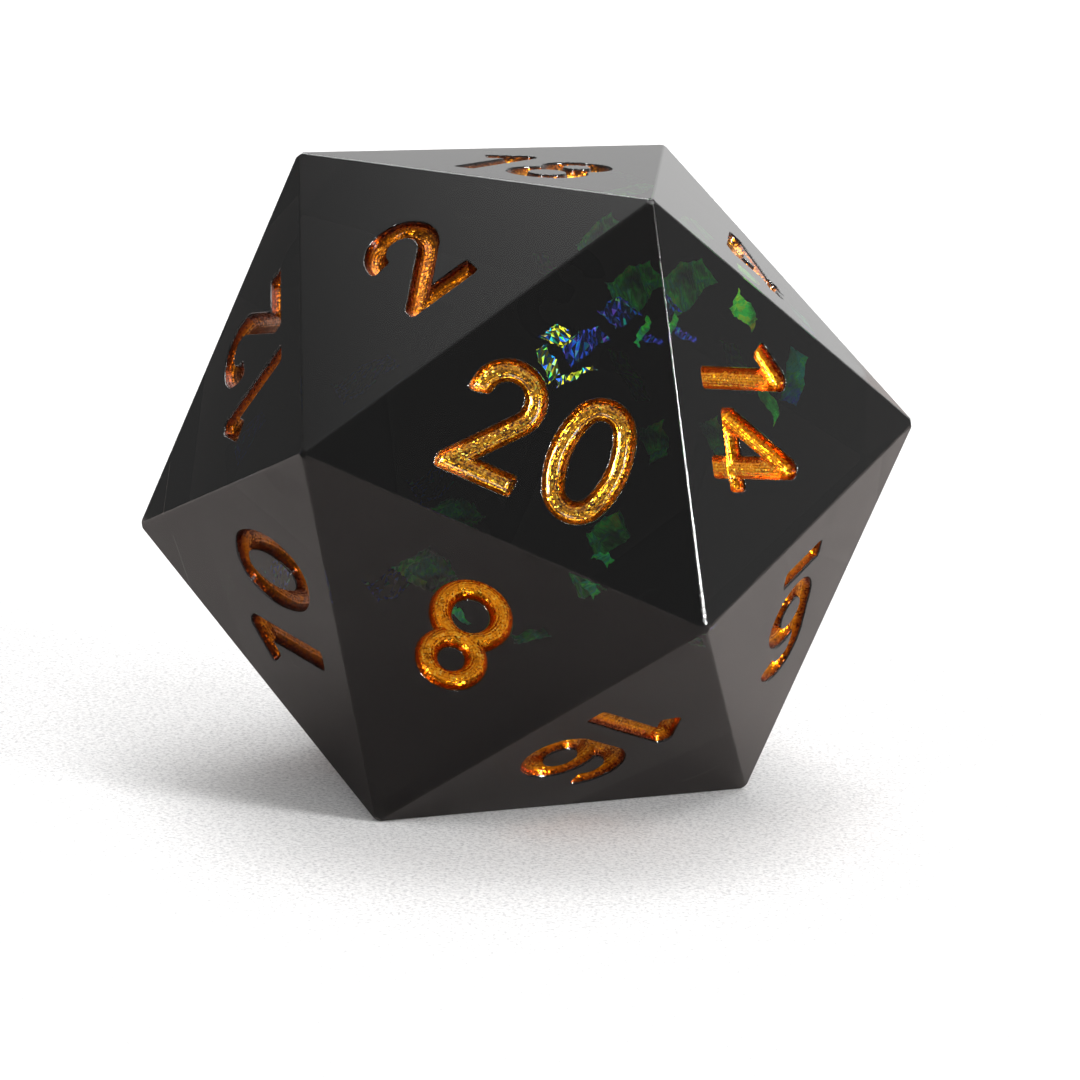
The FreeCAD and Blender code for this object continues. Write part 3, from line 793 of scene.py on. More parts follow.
# ----------------------------------------------------------------- film flakes
FLAKES = [
    ((1.15, -6.95, 15.62), (0.60, 0.55, -0.58), (0.75, -0.14, 0.65), [(0.37, -0.16), (0.44, 0.11), (0.37, -0.21)], 0.40, 0.30),
    ((0.91, -7.70, 14.93), (0.40, 0.17, -0.90), (0.76, 0.49, 0.43), [(0.34, -0.1), (0.46, 0.22), (0.38, -0.16)], 0.22, 0.28),
    ((1.75, -7.75, 14.64), (0.80, 0.52, 0.31), (-0.14, -0.34, 0.93), [(0.37, -0.13), (0.31, 0.16), (0.37, -0.16), (0.39, 0.17)], 0.16, 0.10),
    ((1.80, -5.58, 15.12), (0.60, 0.75, 0.28), (-0.46, 0.03, 0.89), [(0.54, -0.17), (0.47, 0.2), (0.44, -0.2), (0.42, 0.22)], 0.42, 0.34),
    ((2.74, -3.80, 15.76), (0.44, 0.88, 0.20), (-0.77, 0.25, 0.58), [(0.64, -0.19), (0.56, 0.2), (0.49, -0.27)], 0.40, 0.48),
    ((3.06, -1.24, 16.05), (0.45, 0.86, 0.24), (-0.50, 0.02, 0.86), [(0.65, -0.2), (0.71, 0.23), (0.76, -0.25), (0.56, 0.18)], 0.70, 0.55),
    ((3.72, -3.80, 15.02), (0.63, 0.64, -0.44), (-0.06, 0.61, 0.79), [(0.49, -0.2), (0.59, 0.29)], 0.18, 0.14),
    ((2.71, -4.46, 8.88), (0.42, 0.89, 0.18), (-0.39, -0.01, 0.92), [(0.79, -0.2), (0.74, 0.44), (0.82, -0.4)], 0.45, 0.55),
    ((3.56, -5.07, 15.51), (0.19, 0.83, 0.52), (-0.56, -0.34, 0.76), [(0.38, -0.1), (0.51, 0.23), (0.42, -0.15)], 0.12, 0.16),
    ((5.38, -0.94, 15.34), (0.17, 0.78, -0.61), (0.38, 0.52, 0.77), [(0.64, -0.2), (0.63, 0.34), (0.74, -0.22)], 0.42, 0.30),
    ((6.46, 1.71, 12.65), (-0.32, -0.03, -0.95), (0.95, -0.03, -0.32), [(0.52, -0.16), (0.4, 0.19), (0.54, -0.14), (0.53, 0.17)], 0.40, 0.45),
    ((5.99, -0.55, 12.34), (0.19, 0.59, -0.78), (0.43, 0.67, 0.61), [(0.63, -0.16), (0.68, 0.34), (0.73, -0.4)], 0.22, 0.26),
    ((3.90, -1.52, 11.16), (0.18, 0.47, -0.86), (0.90, 0.27, 0.34), [(0.49, -0.18), (0.5, 0.29), (0.62, -0.23)], 0.42, 0.36),
    ((-2.20, -2.59, 8.71), (0.54, 0.70, -0.46), (0.79, -0.23, 0.57), [(0.85, -0.31), (0.94, 0.25), (0.74, -0.29)], 0.75, 0.60),
    ((-2.70, -4.41, 8.43), (0.76, 0.47, -0.44), (0.27, 0.39, 0.88), [(0.43, -0.24), (0.52, 0.23)], 0.14, 0.18),
    ((-1.28, -6.07, 7.37), (0.56, 0.67, -0.48), (0.82, -0.36, 0.45), [(0.42, -0.21), (0.44, 0.25), (0.35, -0.16)], 0.18, 0.12),
    ((0.93, -4.63, 6.82), (0.81, 0.53, 0.26), (-0.44, 0.25, 0.86), [(0.3, -0.12), (0.38, 0.21), (0.37, -0.1), (0.32, 0.1)], 0.16, 0.22),
    ((2.73, -6.72, 8.69), (0.49, 0.73, -0.47), (0.81, -0.18, 0.56), [(0.55, -0.17), (0.43, 0.16)], 0.18, 0.20),
    ((-3.20, 4.20, 8.20), (0.81, 0.30, 0.51), (-0.20, 0.50, 0.80), [(0.68, -0.38), (0.84, 0.26), (0.8, -0.22)], 0.50, 0.40),
    ((2.60, 5.60, 11.60), (-0.61, 0.51, 0.61), (0.50, 0.80, -0.10), [(0.69, -0.23), (0.56, 0.16), (0.68, -0.32)], 0.40, 0.50),
]
FILM_T = 0.02


def film_sheet(k, centre, along_, across, steps, w0, w1, cell=0.13, crumple=0.050, long_=2.6):
    """A thin closed sheet of finely crumpled film in the place of one flake."""
    rng = np.random.default_rng(100 + k)
    x = unit(along_)
    y = unit(np.asarray(across) - x * np.dot(across, x))
    z = np.cross(x, y)
    px, pz = [0.0], [0.0]
    for run, rise in steps:
        px.append(px[-1] + run)
        pz.append(pz[-1] + rise)
    px = np.array(px) - px[-1] / 2.0
    pz = np.array(pz) - np.mean(pz)
    h = px[-1]
    outline = [(-h, -w0), (-h * 0.35, -(w0 * 0.8 + w1 * 0.35)), (h * 0.5, -w1 * 0.85), (h, -w1),
               (h * 0.86, w1 * 0.7), (0, (w0 + w1) * 0.55), (-h * 0.62, w0 * 0.75), (-h * 0.97, w0)]
    loop = []
    for i in range(len(outline)):
        p, q = np.array(outline[i]), np.array(outline[(i + 1) % len(outline)])
        d = q - p
        length = np.hypot(*d)
        m = max(1, int(round(length / (cell * 0.8))))
        side = np.array([-d[1], d[0]]) / max(length, 1e-9)
        for j in range(m):
            loop.append(p + d * j / m + side * (rng.uniform(0.0, 0.05) if j else 0.0))
    loop = np.array(loop)
    loop[:, 0] = np.clip(loop[:, 0], -h, h)
    pts = [tuple(q) for q in loop]
    n = len(pts)
    edges = [(i, (i + 1) % n) for i in range(n)]

    def inside(P):
        """Which of the points P lie inside the outline."""
        P = np.atleast_2d(P)
        a, b = loop, np.roll(loop, -1, axis=0)
        x_, y_ = P[:, 0][:, None], P[:, 1][:, None]
        span = (a[None, :, 1] > y_) != (b[None, :, 1] > y_)
        with np.errstate(divide="ignore", invalid="ignore"):
            cross = (b[None, :, 0] - a[None, :, 0]) * (y_ - a[None, :, 1]) / (b[None, :, 1] - a[None, :, 1]) + a[None, :, 0]
        return ((span & (x_ < cross)).sum(1) % 2) == 1

    # the creases run mostly one way, so the facets are long and thin
    turn = rng.uniform(0.0, math.pi)
    grain_ = np.array([[math.cos(turn), math.sin(turn)], [-math.sin(turn), math.cos(turn)]])
    grain_[0] /= long_
    lo_, hi_ = loop.min(0), loop.max(0)
    cand = rng.uniform(lo_, hi_, (1500, 2))
    cand = cand[inside(cand)]
    cand = cand[np.sqrt(((cand[:, None] - loop[None]) ** 2).sum(2)).min(1) > cell * 0.40]
    inner = []
    for p in cand:
        if inner and np.sqrt((((np.array(inner) - p) @ grain_.T) ** 2).sum(1)).min() < cell * 0.55:
            continue
        inner.append(p)
    pts += [tuple(q) for q in inner]
    co, faces, src = cdt([tuple(grain_ @ np.array(q)) for q in pts], edges)
    co = co @ np.linalg.inv(grain_).T
    keep = []
    for f in faces:
        for j in range(1, len(f) - 1):
            a, b, c = f[0], f[j], f[j + 1]
            if not inside(co[[a, b, c]].mean(0))[0]:
                continue
            area = (co[b][0] - co[a][0]) * (co[c][1] - co[a][1]) - (co[b][1] - co[a][1]) * (co[c][0] - co[a][0])
            if abs(area) < 1e-8:
                continue
            keep.append((a, b, c) if area > 0 else (a, c, b))
    zz = np.interp(co[:, 0], px, pz) + 0.03 + rng.uniform(-crumple, crumple, len(co))
    m = len(co)
    up = np.column_stack([co, zz + FILM_T / 2])
    dn = np.column_stack([co, zz - FILM_T / 2])
    count = {}
    for a, b, c in keep:
        for e in ((a, b), (b, c), (c, a)):
            count[frozenset(e)] = count.get(frozenset(e), 0) + 1
    tris = list(keep) + [(a + m, c + m, b + m) for a, b, c in keep]
    for a, b, c in keep:
        for e in ((a, b), (b, c), (c, a)):
            if count[frozenset(e)] == 1:
                tris += [(e[1], e[0], e[0] + m), (e[1], e[0] + m, e[1] + m)]
    V = np.vstack([up, dn]) @ np.array([x, y, z]) + np.array(centre)
    used = sorted({i for t in tris for i in t})
    new = {o: i for i, o in enumerate(used)}
    return V[used], [tuple(new[i] for i in t) for t in tris]


# Share of the facets of each kind of film that carry a full, and a partial, painted glint: colour that is also emitted.
PAINTED_GLINT_SHARE = {"bright": (0.24, 0.16), "blue": (0.20, 0.30), "green": (1.0, 0.0), "vivid": (1.0, 0.0), "sea": (1.0, 0.0)}
KIND = {1: "bright", 2: "bright", 3: "bright", 4: "blue", 5: "blue", 6: "green", 7: "blue", 8: "green", 9: "green",
        10: "vivid", 11: "sea", 12: "vivid", 13: "green", 14: "green", 15: "green", 16: "green", 17: "green",
        18: "green", 19: "blue", 20: "green"}
films = []
for k, spec in enumerate(FLAKES, 1):
    V, T = film_sheet(k, *spec)
    ob = put_mesh("film_%02d" % k, V, T, smooth=False)
    rng = np.random.default_rng(500 + k)
    full, part = PAINTED_GLINT_SHARE[KIND[k]]
    u = rng.uniform(0, 1, len(T))
    at = ob.data.attributes.new("painted_glint", "FLOAT", "FACE")
    # painted glints: how much of the film's colour, and of its glow, each facet shows
    flash = np.where(u < full, 1.0, np.where(u < full + part, 0.28, 0.035)) if full < 0.5 else 0.75 + 0.25 * u
    at.data.foreach_set("value", flash.astype(np.float32))
    at = ob.data.attributes.new("order", "FLOAT", "FACE")
    order = rng.uniform(0, 1, len(T))
    at.data.foreach_set("value", (order if full < 0.5 else 0.40 + 0.20 * order).astype(np.float32))
    films.append((ob, "film_flake_%02d" % k))

# ------------------------------------------------------------------- materials


def new_material(name):
    mat = bpy.data.materials.new(name)
    mat.use_nodes = True
    nt = mat.node_tree
    for nd in list(nt.nodes):
        nt.nodes.remove(nd)
    out = nt.nodes.new("ShaderNodeOutputMaterial")
    bsdf = nt.nodes.new("ShaderNodeBsdfPrincipled")
    nt.links.new(bsdf.outputs["BSDF"], out.inputs["Surface"])
    return mat, nt, bsdf, out


def node(nt, kind, **values):
    nd = nt.nodes.new(kind)
    for key, value in values.items():
        if hasattr(nd, key):
            setattr(nd, key, value)
        else:
            nd.inputs[key.replace("_", " ")].default_value = value
    return nd


def ramp(nt, stops, interp="LINEAR"):
    nd = nt.nodes.new("ShaderNodeValToRGB")
    nd.color_ramp.interpolation = interp
    els = nd.color_ramp.elements
    while len(els) > 1:
        els.remove(els[-1])
    els[0].position, els[0].color = stops[0][0], tuple(stops[0][1]) + (1.0,)
    for pos, col in stops[1:]:
        e = els.new(pos)
        e.color = tuple(col) + (1.0,)
    return nd


def maths(nt, op, a=None, b=None, c=None, clamp=False):
    nd = nt.nodes.new("ShaderNodeMath")
    nd.operation = op
    nd.use_clamp = clamp
    for i, v in enumerate((a, b, c)):
        if v is None:
            continue
        if hasattr(v, "is_output") or hasattr(v, "links"):
            nt.links.new(v, nd.inputs[i])
        else:
            nd.inputs[i].default_value = v
    return nd.outputs[0]


def resin_material():
    mat, nt, b, out = new_material("smoky_resin")
    tc = node(nt, "ShaderNodeTexCoord")
    b.inputs["Base Color"].default_value = (1.0, 1.0, 1.0, 1.0)
    b.inputs["Transmission Weight"].default_value = 1.0
    b.inputs["IOR"].default_value = 1.5
    # faint polishing haze and finger marks: the gloss varies a little over each face
    haze = node(nt, "ShaderNodeTexNoise", Scale=260.0, Detail=4.0, Roughness=0.6)
    nt.links.new(tc.outputs["Object"], haze.inputs["Vector"])
    r = node(nt, "ShaderNodeMapRange")
    r.inputs["From Min"].default_value, r.inputs["From Max"].default_value = 0.40, 0.72
    r.inputs["To Min"].default_value, r.inputs["To Max"].default_value = 0.012, 0.05
    nt.links.new(haze.outputs["Fac"], r.inputs["Value"])
    # edges and tips are scuffed
    worn_ = node(nt, "ShaderNodeAttribute", attribute_name="worn")
    worn_.attribute_type = "GEOMETRY"
    scuff = node(nt, "ShaderNodeTexNoise", Scale=9000.0, Detail=2.0, Roughness=0.7)
    nt.links.new(tc.outputs["Object"], scuff.inputs["Vector"])
    lift = node(nt, "ShaderNodeMapRange")
    lift.inputs["From Min"].default_value, lift.inputs["From Max"].default_value = 0.40, 0.70
    lift.inputs["To Min"].default_value, lift.inputs["To Max"].default_value = 0.05, 0.32
    nt.links.new(scuff.outputs["Fac"], lift.inputs["Value"])
    rub = maths(nt, "MULTIPLY", worn_.outputs["Fac"], lift.outputs["Result"])
    nt.links.new(maths(nt, "ADD", r.outputs["Result"], rub), b.inputs["Roughness"])
    bump = node(nt, "ShaderNodeBump", Strength=0.012, Distance=0.00002)
    fine = node(nt, "ShaderNodeTexNoise", Scale=500.0, Detail=1.0)
    nt.links.new(tc.outputs["Object"], fine.inputs["Vector"])
    nt.links.new(fine.outputs["Fac"], bump.inputs["Height"])
    nt.links.new(bump.outputs["Normal"], b.inputs["Normal"])
    vol = nt.nodes.new("ShaderNodeVolumeAbsorption")
    vol.inputs["Color"].default_value = (0.10, 0.085, 0.08, 1.0)
    vol.inputs["Density"].default_value = 430.0
    nt.links.new(vol.outputs["Volume"], out.inputs["Volume"])
    return mat


def gold_material(name, coat, red=1.0, speck=1.0):
    mat, nt, b, out = new_material(name)
    tc = node(nt, "ShaderNodeTexCoord")
    lay = node(nt, "ShaderNodeAttribute", attribute_name="lay")
    lay.attribute_type = "GEOMETRY"
    # darker towards the rim and walls of the groove, lighter on the bed: partly thinner paint on the walls, partly
    # painted shade in the groove
    tone = ramp(nt, [(0.0, (0.05, 0.010, 0.0003)), (0.06, (0.22 * red, 0.045, 0.0006)), (0.20, (0.44 * red, 0.112, 0.0010)),
                     (0.36, (0.78 * red, 0.300, 0.0050)), (1.0, (0.80 * red, 0.340, 0.0090))])
    t = maths(nt, "MULTIPLY", lay.outputs["Fac"], 1.0 / 0.35, clamp=True)
    nt.links.new(t, tone.inputs["Fac"])
    grain = node(nt, "ShaderNodeTexVoronoi", Scale=17000.0)
    nt.links.new(tc.outputs["Object"], grain.inputs["Vector"])
    shade = ramp(nt, [(0.0, (0.05, 0.03, 0.015)), (0.18, (0.26, 0.20, 0.14)), (0.42, (0.88, 0.88, 0.88)), (0.72, (1.1, 1.15, 1.2)), (0.90, (1.5, 2.0, 6.0)), (1.0, (1.8, 2.8, 22.0))])
    sep = node(nt, "ShaderNodeSeparateColor")
    nt.links.new(grain.outputs["Color"], sep.inputs["Color"])
    nt.links.new(sep.outputs["Red"], shade.inputs["Fac"])
    mix = node(nt, "ShaderNodeMix", data_type="RGBA", blend_type="MULTIPLY")
    patch = node(nt, "ShaderNodeTexNoise", Scale=3200.0, Detail=2.0)
    nt.links.new(tc.outputs["Object"], patch.inputs["Vector"])
    nt.links.new(maths(nt, "MULTIPLY_ADD", patch.outputs["Fac"], 2.6 * speck, -0.35 * speck, clamp=True), mix.inputs[0])
    nt.links.new(tone.outputs["Color"], mix.inputs[6])
    nt.links.new(shade.outputs["Color"], mix.inputs[7])
    # the side bedded against the resin is coloured near black: painted shade, so the paint's back stays dark seen
    # through the resin
    side_ = node(nt, "ShaderNodeAttribute", attribute_name="open_side")
    side_.attribute_type = "GEOMETRY"
    bed = node(nt, "ShaderNodeMix", data_type="RGBA", blend_type="MIX")
    nt.links.new(maths(nt, "GREATER_THAN", side_.outputs["Fac"], 0.02), bed.inputs[0])
    bed.inputs[6].default_value = (0.035, 0.022, 0.012, 1.0)
    # thin dark lines in the colour, also used as a bump, that follow the stroke, broken up along it
    wander = node(nt, "ShaderNodeTexNoise", Scale=700.0, Detail=2.0)
    nt.links.new(tc.outputs["Object"], wander.inputs["Vector"])
    line = maths(nt, "SINE", maths(nt, "MULTIPLY_ADD", wander.outputs["Fac"], 1.6,
                                   maths(nt, "MULTIPLY", lay.outputs["Fac"], 2.0 * math.pi / 0.098)))
    dark = ramp(nt, [(0.0, (1.0, 1.0, 1.0)), (0.80, (1.0, 1.0, 1.0)), (0.93, (0.30, 0.22, 0.15)), (1.0, (0.30, 0.22, 0.15))])
    nt.links.new(maths(nt, "MULTIPLY_ADD", line, 0.5, 0.5), dark.inputs["Fac"])
    cut = node(nt, "ShaderNodeMix", data_type="RGBA", blend_type="MULTIPLY")
    nt.links.new(maths(nt, "MULTIPLY_ADD", patch.outputs["Fac"], 2.6 * speck, -0.7 * speck, clamp=True), cut.inputs[0])
    nt.links.new(mix.outputs[2], cut.inputs[6])
    nt.links.new(dark.outputs["Color"], cut.inputs[7])
    # painted shade: the paint darkened and warmed by each number's amount
    painted_shade = node(nt, "ShaderNodeAttribute", attribute_name="painted_shade")
    painted_shade.attribute_type = "GEOMETRY"
    warm = node(nt, "ShaderNodeMix", data_type="RGBA", blend_type="MULTIPLY")
    nt.links.new(painted_shade.outputs["Fac"], warm.inputs[0])
    nt.links.new(cut.outputs[2], warm.inputs[6])
    warm.inputs[7].default_value = (0.34, 0.26, 0.15, 1.0)
    nt.links.new(warm.outputs[2], bed.inputs[7])
    nt.links.new(bed.outputs[2], b.inputs["Base Color"])
    b.inputs["Metallic"].default_value = 1.0
    rough = node(nt, "ShaderNodeMapRange")
    rough.inputs["To Min"].default_value, rough.inputs["To Max"].default_value = 0.11, 0.26
    nt.links.new(sep.outputs["Green"], rough.inputs["Value"])
    nt.links.new(rough.outputs["Result"], b.inputs["Roughness"])
    # each metal flake in the paint lies at its own angle
    geo = node(nt, "ShaderNodeNewGeometry")
    sub = node(nt, "ShaderNodeVectorMath", operation="SUBTRACT")
    sub.inputs[1].default_value = (0.5, 0.5, 0.5)
    nt.links.new(grain.outputs["Color"], sub.inputs[0])
    sc = node(nt, "ShaderNodeVectorMath", operation="SCALE")
    sc.inputs["Scale"].default_value = 0.36
    nt.links.new(sub.outputs[0], sc.inputs[0])
    add = node(nt, "ShaderNodeVectorMath", operation="ADD")
    nt.links.new(geo.outputs["Normal"], add.inputs[0])
    nt.links.new(sc.outputs[0], add.inputs[1])
    nrm = node(nt, "ShaderNodeVectorMath", operation="NORMALIZE")
    nt.links.new(add.outputs[0], nrm.inputs[0])
    marks = node(nt, "ShaderNodeBump", Strength=0.5, Distance=0.000007)
    nt.links.new(line, marks.inputs["Height"])
    nt.links.new(nrm.outputs[0], marks.inputs["Normal"])
    nt.links.new(marks.outputs["Normal"], b.inputs["Normal"])
    b.inputs["Coat Weight"].default_value = coat
    b.inputs["Coat Roughness"].default_value = 0.10
    return mat


def film_material(name, stops, roughness, scale=900.0, metal=1.0, painted_glow=0.2, cloudy=False):
    mat, nt, b, out = new_material(name)
    tc = node(nt, "ShaderNodeTexCoord")
    noise = node(nt, "ShaderNodeTexNoise", Scale=scale, Detail=2.0)
    nt.links.new(tc.outputs["Object"], noise.inputs["Vector"])
    order = node(nt, "ShaderNodeAttribute", attribute_name="order")
    order.attribute_type = "GEOMETRY"
    # painted glint of each facet: it scales the colour and the emitted glow
    painted_glint = node(nt, "ShaderNodeAttribute", attribute_name="painted_glint")
    painted_glint.attribute_type = "GEOMETRY"
    f = maths(nt, "MULTIPLY_ADD", noise.outputs["Fac"], 2.0 if cloudy else 1.0, -0.82 if cloudy else -0.30)
    s = maths(nt, "MULTIPLY_ADD", order.outputs["Fac"], 0.65, f, clamp=True)
    r = ramp(nt, stops)
    nt.links.new(s, r.inputs["Fac"])
    held = node(nt, "ShaderNodeVectorMath", operation="SCALE")
    nt.links.new(r.outputs["Color"], held.inputs[0])
    if cloudy:
        # crushed, lying deep: the colour, and the painted glow with it, comes and goes in soft patches
        cloud = node(nt, "ShaderNodeTexNoise", Scale=scale * 0.7, Detail=3.0, Roughness=0.6)
        nt.links.new(tc.outputs["Object"], cloud.inputs["Vector"])
        vis = node(nt, "ShaderNodeMapRange")
        vis.inputs["From Min"].default_value, vis.inputs["From Max"].default_value = 0.40, 0.60
        vis.inputs["To Min"].default_value, vis.inputs["To Max"].default_value = 0.16, 1.0
        nt.links.new(cloud.outputs["Fac"], vis.inputs["Value"])
        nt.links.new(maths(nt, "MULTIPLY", vis.outputs["Result"], painted_glint.outputs["Fac"]), held.inputs["Scale"])
    else:
        nt.links.new(painted_glint.outputs["Fac"], held.inputs["Scale"])
    nt.links.new(held.outputs[0], b.inputs["Base Color"])
    b.inputs["Metallic"].default_value = metal
    # painted glow: the film's colour is also emitted, so its glints shine though it is no lamp
    nt.links.new(held.outputs[0], b.inputs["Emission Color"])
    b.inputs["Emission Strength"].default_value = painted_glow
    rr = node(nt, "ShaderNodeMapRange")
    rr.inputs["To Min"].default_value, rr.inputs["To Max"].default_value = roughness * 0.7, roughness * 1.3
    nt.links.new(noise.outputs["Fac"], rr.inputs["Value"])
    nt.links.new(rr.outputs["Result"], b.inputs["Roughness"])
    return mat


RESIN = resin_material()
GOLD = gold_material("gold_paint", 0.75)
# a second, redder copy of the paint, with less coat and fewer specks, for all numbers but 20, 18 and 4: painted shade
# for the numbers lit less than those three
REDDER_GOLD = gold_material("gold_paint_amber", 0.15, 1.22, 0.55)
CYAN = (0.01, 0.50, 1.0)
YEL, GRN, TEAL, BLU, VIO = (1.0, 0.92, 0.03), (0.05, 0.95, 0.10), (0.01, 0.62, 0.48), (0.02, 0.13, 1.0), (0.26, 0.10, 1.0)
MOSS, DUSK, OLIVE, LIME, POOL = (0.05, 0.40, 0.08), (0.03, 0.10, 0.10), (0.50, 0.72, 0.04), (0.45, 0.98, 0.04), (0.02, 0.46, 0.26)
# each kind of film also emits its colour: painted glow, stronger for the bright kinds
FILM = {
    "bright": film_material("film_bright", [(0.0, BLU), (0.22, BLU), (0.28, CYAN), (0.36, GRN), (0.44, YEL), (0.64, YEL), (0.72, LIME), (0.82, BLU), (1.0, VIO)], 0.10, metal=0.8, painted_glow=2.1),
    "blue": film_material("film_blue", [(0.0, VIO), (0.25, BLU), (0.46, BLU), (0.52, CYAN), (0.58, BLU), (0.72, VIO), (0.84, TEAL), (1.0, LIME)], 0.16, metal=0.7, painted_glow=1.2),
    "green": film_material("film_green", [(0.0, DUSK), (0.26, MOSS), (0.38, GRN), (0.52, POOL), (0.62, MOSS), (0.74, GRN), (1.0, OLIVE)], 0.34, metal=0.2, painted_glow=0.50, cloudy=True),
    "vivid": film_material("film_vivid", [(0.0, GRN), (0.40, GRN), (0.50, LIME), (0.62, GRN), (0.85, LIME), (1.0, YEL)], 0.30, metal=0.2, painted_glow=1.3, cloudy=True),
    "sea": film_material("film_sea", [(0.0, MOSS), (0.30, TEAL), (0.45, GRN), (0.58, TEAL), (0.75, BLU), (1.0, TEAL)], 0.30, metal=0.2, painted_glow=0.85, cloudy=True),
}
resin.data.materials.append(RESIN)
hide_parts("resin_body")
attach(resin, "root")
for ob, node_name, number in paints:
    ob.data.materials.append(GOLD if number in (20, 18, 4) else REDDER_GOLD)
    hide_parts(node_name)
    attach(ob, "root")
for k, (ob, node_name) in enumerate(films, 1):
    ob.data.materials.append(FILM[KIND[k]])
    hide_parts(node_name)
    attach(ob, "root")

# ----------------------------------------------------------------------- floor
S = 3.0
floor_me = bpy.data.meshes.new("floor")
floor_me.from_pydata([(-S, -S, -0.00002), (S, -S, -0.00002), (S, S, -0.00002), (-S, S, -0.00002)], [], [(0, 1, 2, 3)])
floor = bpy.data.objects.new("floor", floor_me)
bpy.context.scene.collection.objects.link(floor)
mat, nt, b, out = new_material("floor_paper")
tc = node(nt, "ShaderNodeTexCoord")
grain = node(nt, "ShaderNodeTexNoise", Scale=7500.0, Detail=2.0, Roughness=0.8)
nt.links.new(tc.outputs["Object"], grain.inputs["Vector"])
tone = ramp(nt, [(0.33, (0.53, 0.53, 0.54)), (0.50, (0.75, 0.745, 0.745)), (0.70, (0.86, 0.86, 0.86))])
nt.links.new(grain.outputs["Fac"], tone.inputs["Fac"])
# the table is lit full white for the picture; its bounce into the die is held back, as with a flag
w_seen = node(nt, "ShaderNodeLightPath")
hold = node(nt, "ShaderNodeMix", data_type="RGBA", blend_type="MIX")
nt.links.new(w_seen.outputs["Is Camera Ray"], hold.inputs[0])
hold.inputs[6].default_value = (0.390, 0.355, 0.343, 1.0)
nt.links.new(tone.outputs["Color"], hold.inputs[7])
nt.links.new(hold.outputs[2], b.inputs["Base Color"])
b.inputs["Roughness"].default_value = 0.9
b.inputs["Specular IOR Level"].default_value = 0.1
floor_me.materials.append(mat)

# ----------------------------------------------------------------------- world
world = bpy.data.worlds.new("studio")
bpy.context.scene.world = world
world.use_nodes = True
wt = world.node_tree
for nd in list(wt.nodes):
    wt.nodes.remove(nd)
w_out = wt.nodes.new("ShaderNodeOutputWorld")
w_tc = wt.nodes.new("ShaderNodeTexCoord")


def direction(az, el):
    a, e = math.radians(az), math.radians(el)
    return (math.sin(a) * math.cos(e), math.cos(a) * math.cos(e), math.sin(e))


def lobe(az, el, inner, outer):
    """1 within inner degrees of a direction, 0 beyond outer."""
    d = node(wt, "ShaderNodeVectorMath", operation="DOT_PRODUCT")
    wt.links.new(w_tc.outputs["Generated"], d.inputs[0])
    d.inputs[1].default_value = direction(az, el)
    m = node(wt, "ShaderNodeMapRange", interpolation_type="SMOOTHSTEP")
    m.inputs["From Min"].default_value = math.cos(math.radians(outer))
    m.inputs["From Max"].default_value = math.cos(math.radians(inner))
    wt.links.new(d.outputs["Value"], m.inputs["Value"])
    return m.outputs["Result"]


def panel(az, el, half_w, half_h, soft=1.5):
    """1 inside a rectangle of directions, with softened edges."""
    c = np.array(direction(az, el))
    right = unit(np.cross(c, [0, 0, 1]))
    up = np.cross(right, c)
    dots = []
    for v in (c, right, up):
        d = node(wt, "ShaderNodeVectorMath", operation="DOT_PRODUCT")
        wt.links.new(w_tc.outputs["Generated"], d.inputs[0])
        d.inputs[1].default_value = tuple(v)
        dots.append(d.outputs["Value"])
    front = maths(wt, "MAXIMUM", dots[0], 0.05)
    total = maths(wt, "GREATER_THAN", dots[0], 0.05)
    for v, half in ((dots[1], half_w), (dots[2], half_h)):
        q = maths(wt, "ABSOLUTE", maths(wt, "DIVIDE", v, front))
        m = node(wt, "ShaderNodeMapRange", interpolation_type="SMOOTHSTEP")
        m.inputs["From Min"].default_value = math.tan(math.radians(half + soft))
        m.inputs["From Max"].default_value = math.tan(math.radians(half - soft))
        wt.links.new(q, m.inputs["Value"])
        total = maths(wt, "MULTIPLY", total, m.outputs["Result"])
    return total


def toward(value, mask, target):
    """Blends a value to target where the mask is 1."""
    m = node(wt, "ShaderNodeMix", data_type="FLOAT")
    wt.links.new(mask, m.inputs[0])
    if isinstance(value, float):
        m.inputs[2].default_value = value
    else:
        wt.links.new(value, m.inputs[2])
    m.inputs[3].default_value = target
    return m.outputs[0]


level = 0.84
level = toward(level, lobe(178, 15, 35, 62), 0.40)
level = toward(level, lobe(-110, 16, 20, 52), 0.23)
level = toward(level, lobe(-4, 8.5, 4, 10), 0.66)
level = toward(level, lobe(166, 27.5, 11, 21), 0.30)
level = toward(level, lobe(74, 8, 16, 34), 0.47)
level = toward(level, lobe(-41, -2, 12, 26), 0.12)
level = toward(level, lobe(-70, 30, 22.5, 28.0), 0.26)
level = maths(wt, "ADD", level, maths(wt, "MULTIPLY", lobe(-4, 68, 8, 30), 4.4))
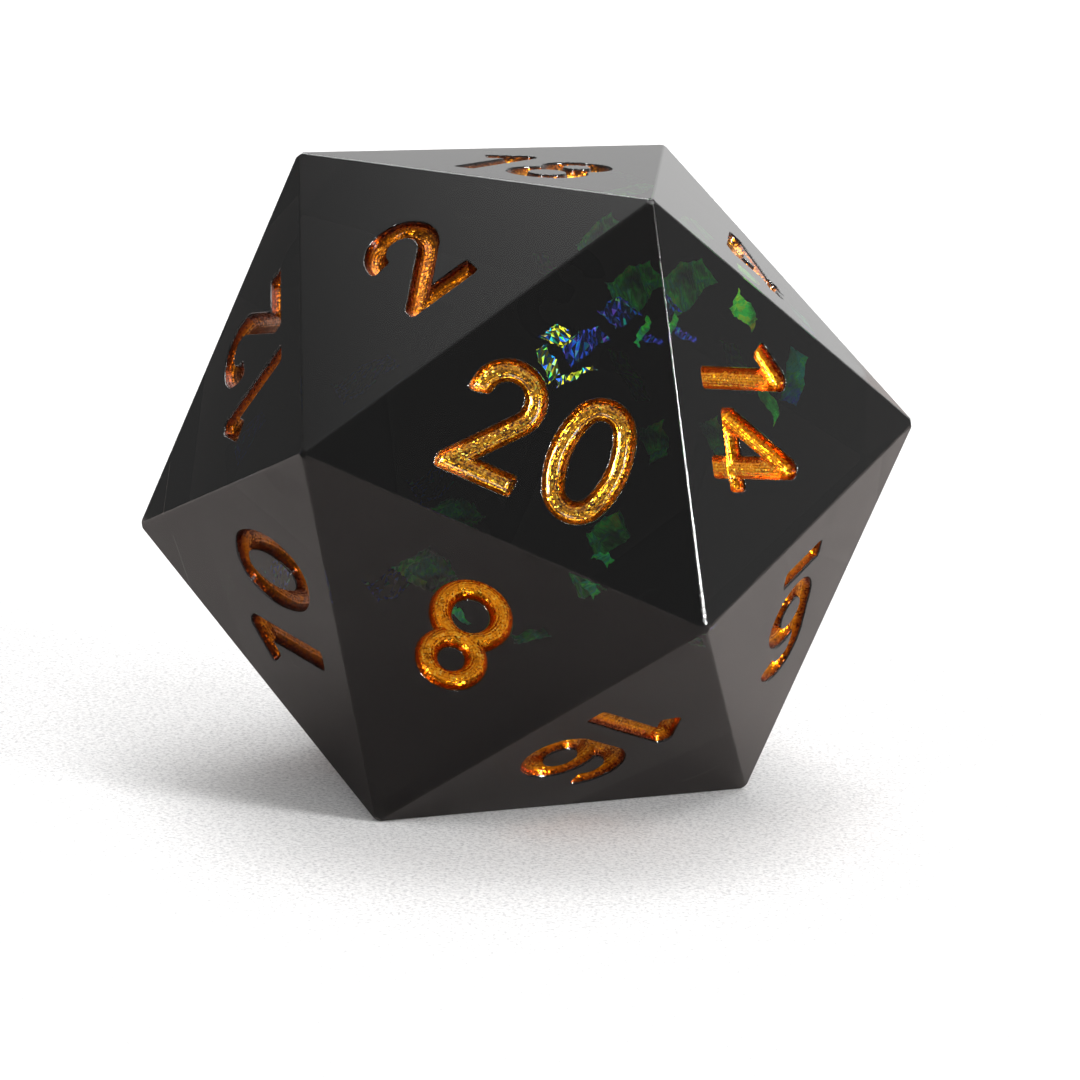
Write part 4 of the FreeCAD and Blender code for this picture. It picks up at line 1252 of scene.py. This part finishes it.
# the key panel has a dark disc in it, so that no face mirrors it whole when seen from the front right
disc = maths(wt, "SUBTRACT", 1.0, lobe(120.6, 13.3, 5.0, 6.6))
key = maths(wt, "MULTIPLY", maths(wt, "MULTIPLY", panel(115.5, 12.5, 8.0, 13.5), disc), 44.0)
fill = maths(wt, "MULTIPLY", panel(-147, 38, 4.0, 11), 16.0)
side = maths(wt, "MULTIPLY", panel(140, 60, 9, 6), 5.0)
back = maths(wt, "MULTIPLY", panel(-16, 41, 8, 5, 3.0), 3.4)
total = maths(wt, "ADD", level, maths(wt, "ADD", maths(wt, "ADD", key, side), maths(wt, "ADD", fill, back)))
w_bg = wt.nodes.new("ShaderNodeBackground")
wt.links.new(total, w_bg.inputs["Strength"])
w_bg.inputs["Color"].default_value = (1.0, 0.995, 0.99, 1.0)
w_cam = wt.nodes.new("ShaderNodeBackground")
w_cam.inputs["Color"].default_value = (1.0, 1.0, 1.0, 1.0)
w_cam.inputs["Strength"].default_value = 1.0
w_lp = wt.nodes.new("ShaderNodeLightPath")
w_mix = wt.nodes.new("ShaderNodeMixShader")
wt.links.new(w_lp.outputs["Is Camera Ray"], w_mix.inputs[0])
wt.links.new(w_bg.outputs[0], w_mix.inputs[1])
wt.links.new(w_cam.outputs[0], w_mix.inputs[2])
wt.links.new(w_mix.outputs[0], w_out.inputs["Surface"])

# ---------------------------------------------------------------------- camera
cam_data = bpy.data.cameras.new("camera")
cam_data.sensor_width = 36.0
cam_data.sensor_fit = "HORIZONTAL"
cam_data.lens = 4818.477 / 1080.0 * 36.0
cam_data.clip_start = 0.005
cam_data.clip_end = 20.0
cam = bpy.data.objects.new("camera", cam_data)
bpy.context.scene.collection.objects.link(cam)
right = Vector((0.9976425887, 0.0520036573, 0.0447759608))
down = Vector((0.0545792254, -0.2057750999, -0.9770761058))
ahead = Vector((-0.0415977572, 0.9772165716, -0.2081283227))
M = Matrix((( right.x, -down.x, -ahead.x, 7.0547118586 * MM),
            ( right.y, -down.y, -ahead.y, -151.5452682621 * MM),
            ( right.z, -down.z, -ahead.z, 40.1379147025 * MM),
            (0, 0, 0, 1)))
cam.matrix_world = M
bpy.context.scene.camera = cam

scene = bpy.context.scene
scene.view_settings.view_transform = "Standard"
scene.view_settings.look = "None"
scene.cycles.max_bounces = 16
scene.cycles.transmission_bounces = 16
scene.cycles.glossy_bounces = 8

bpy.context.view_layer.update()
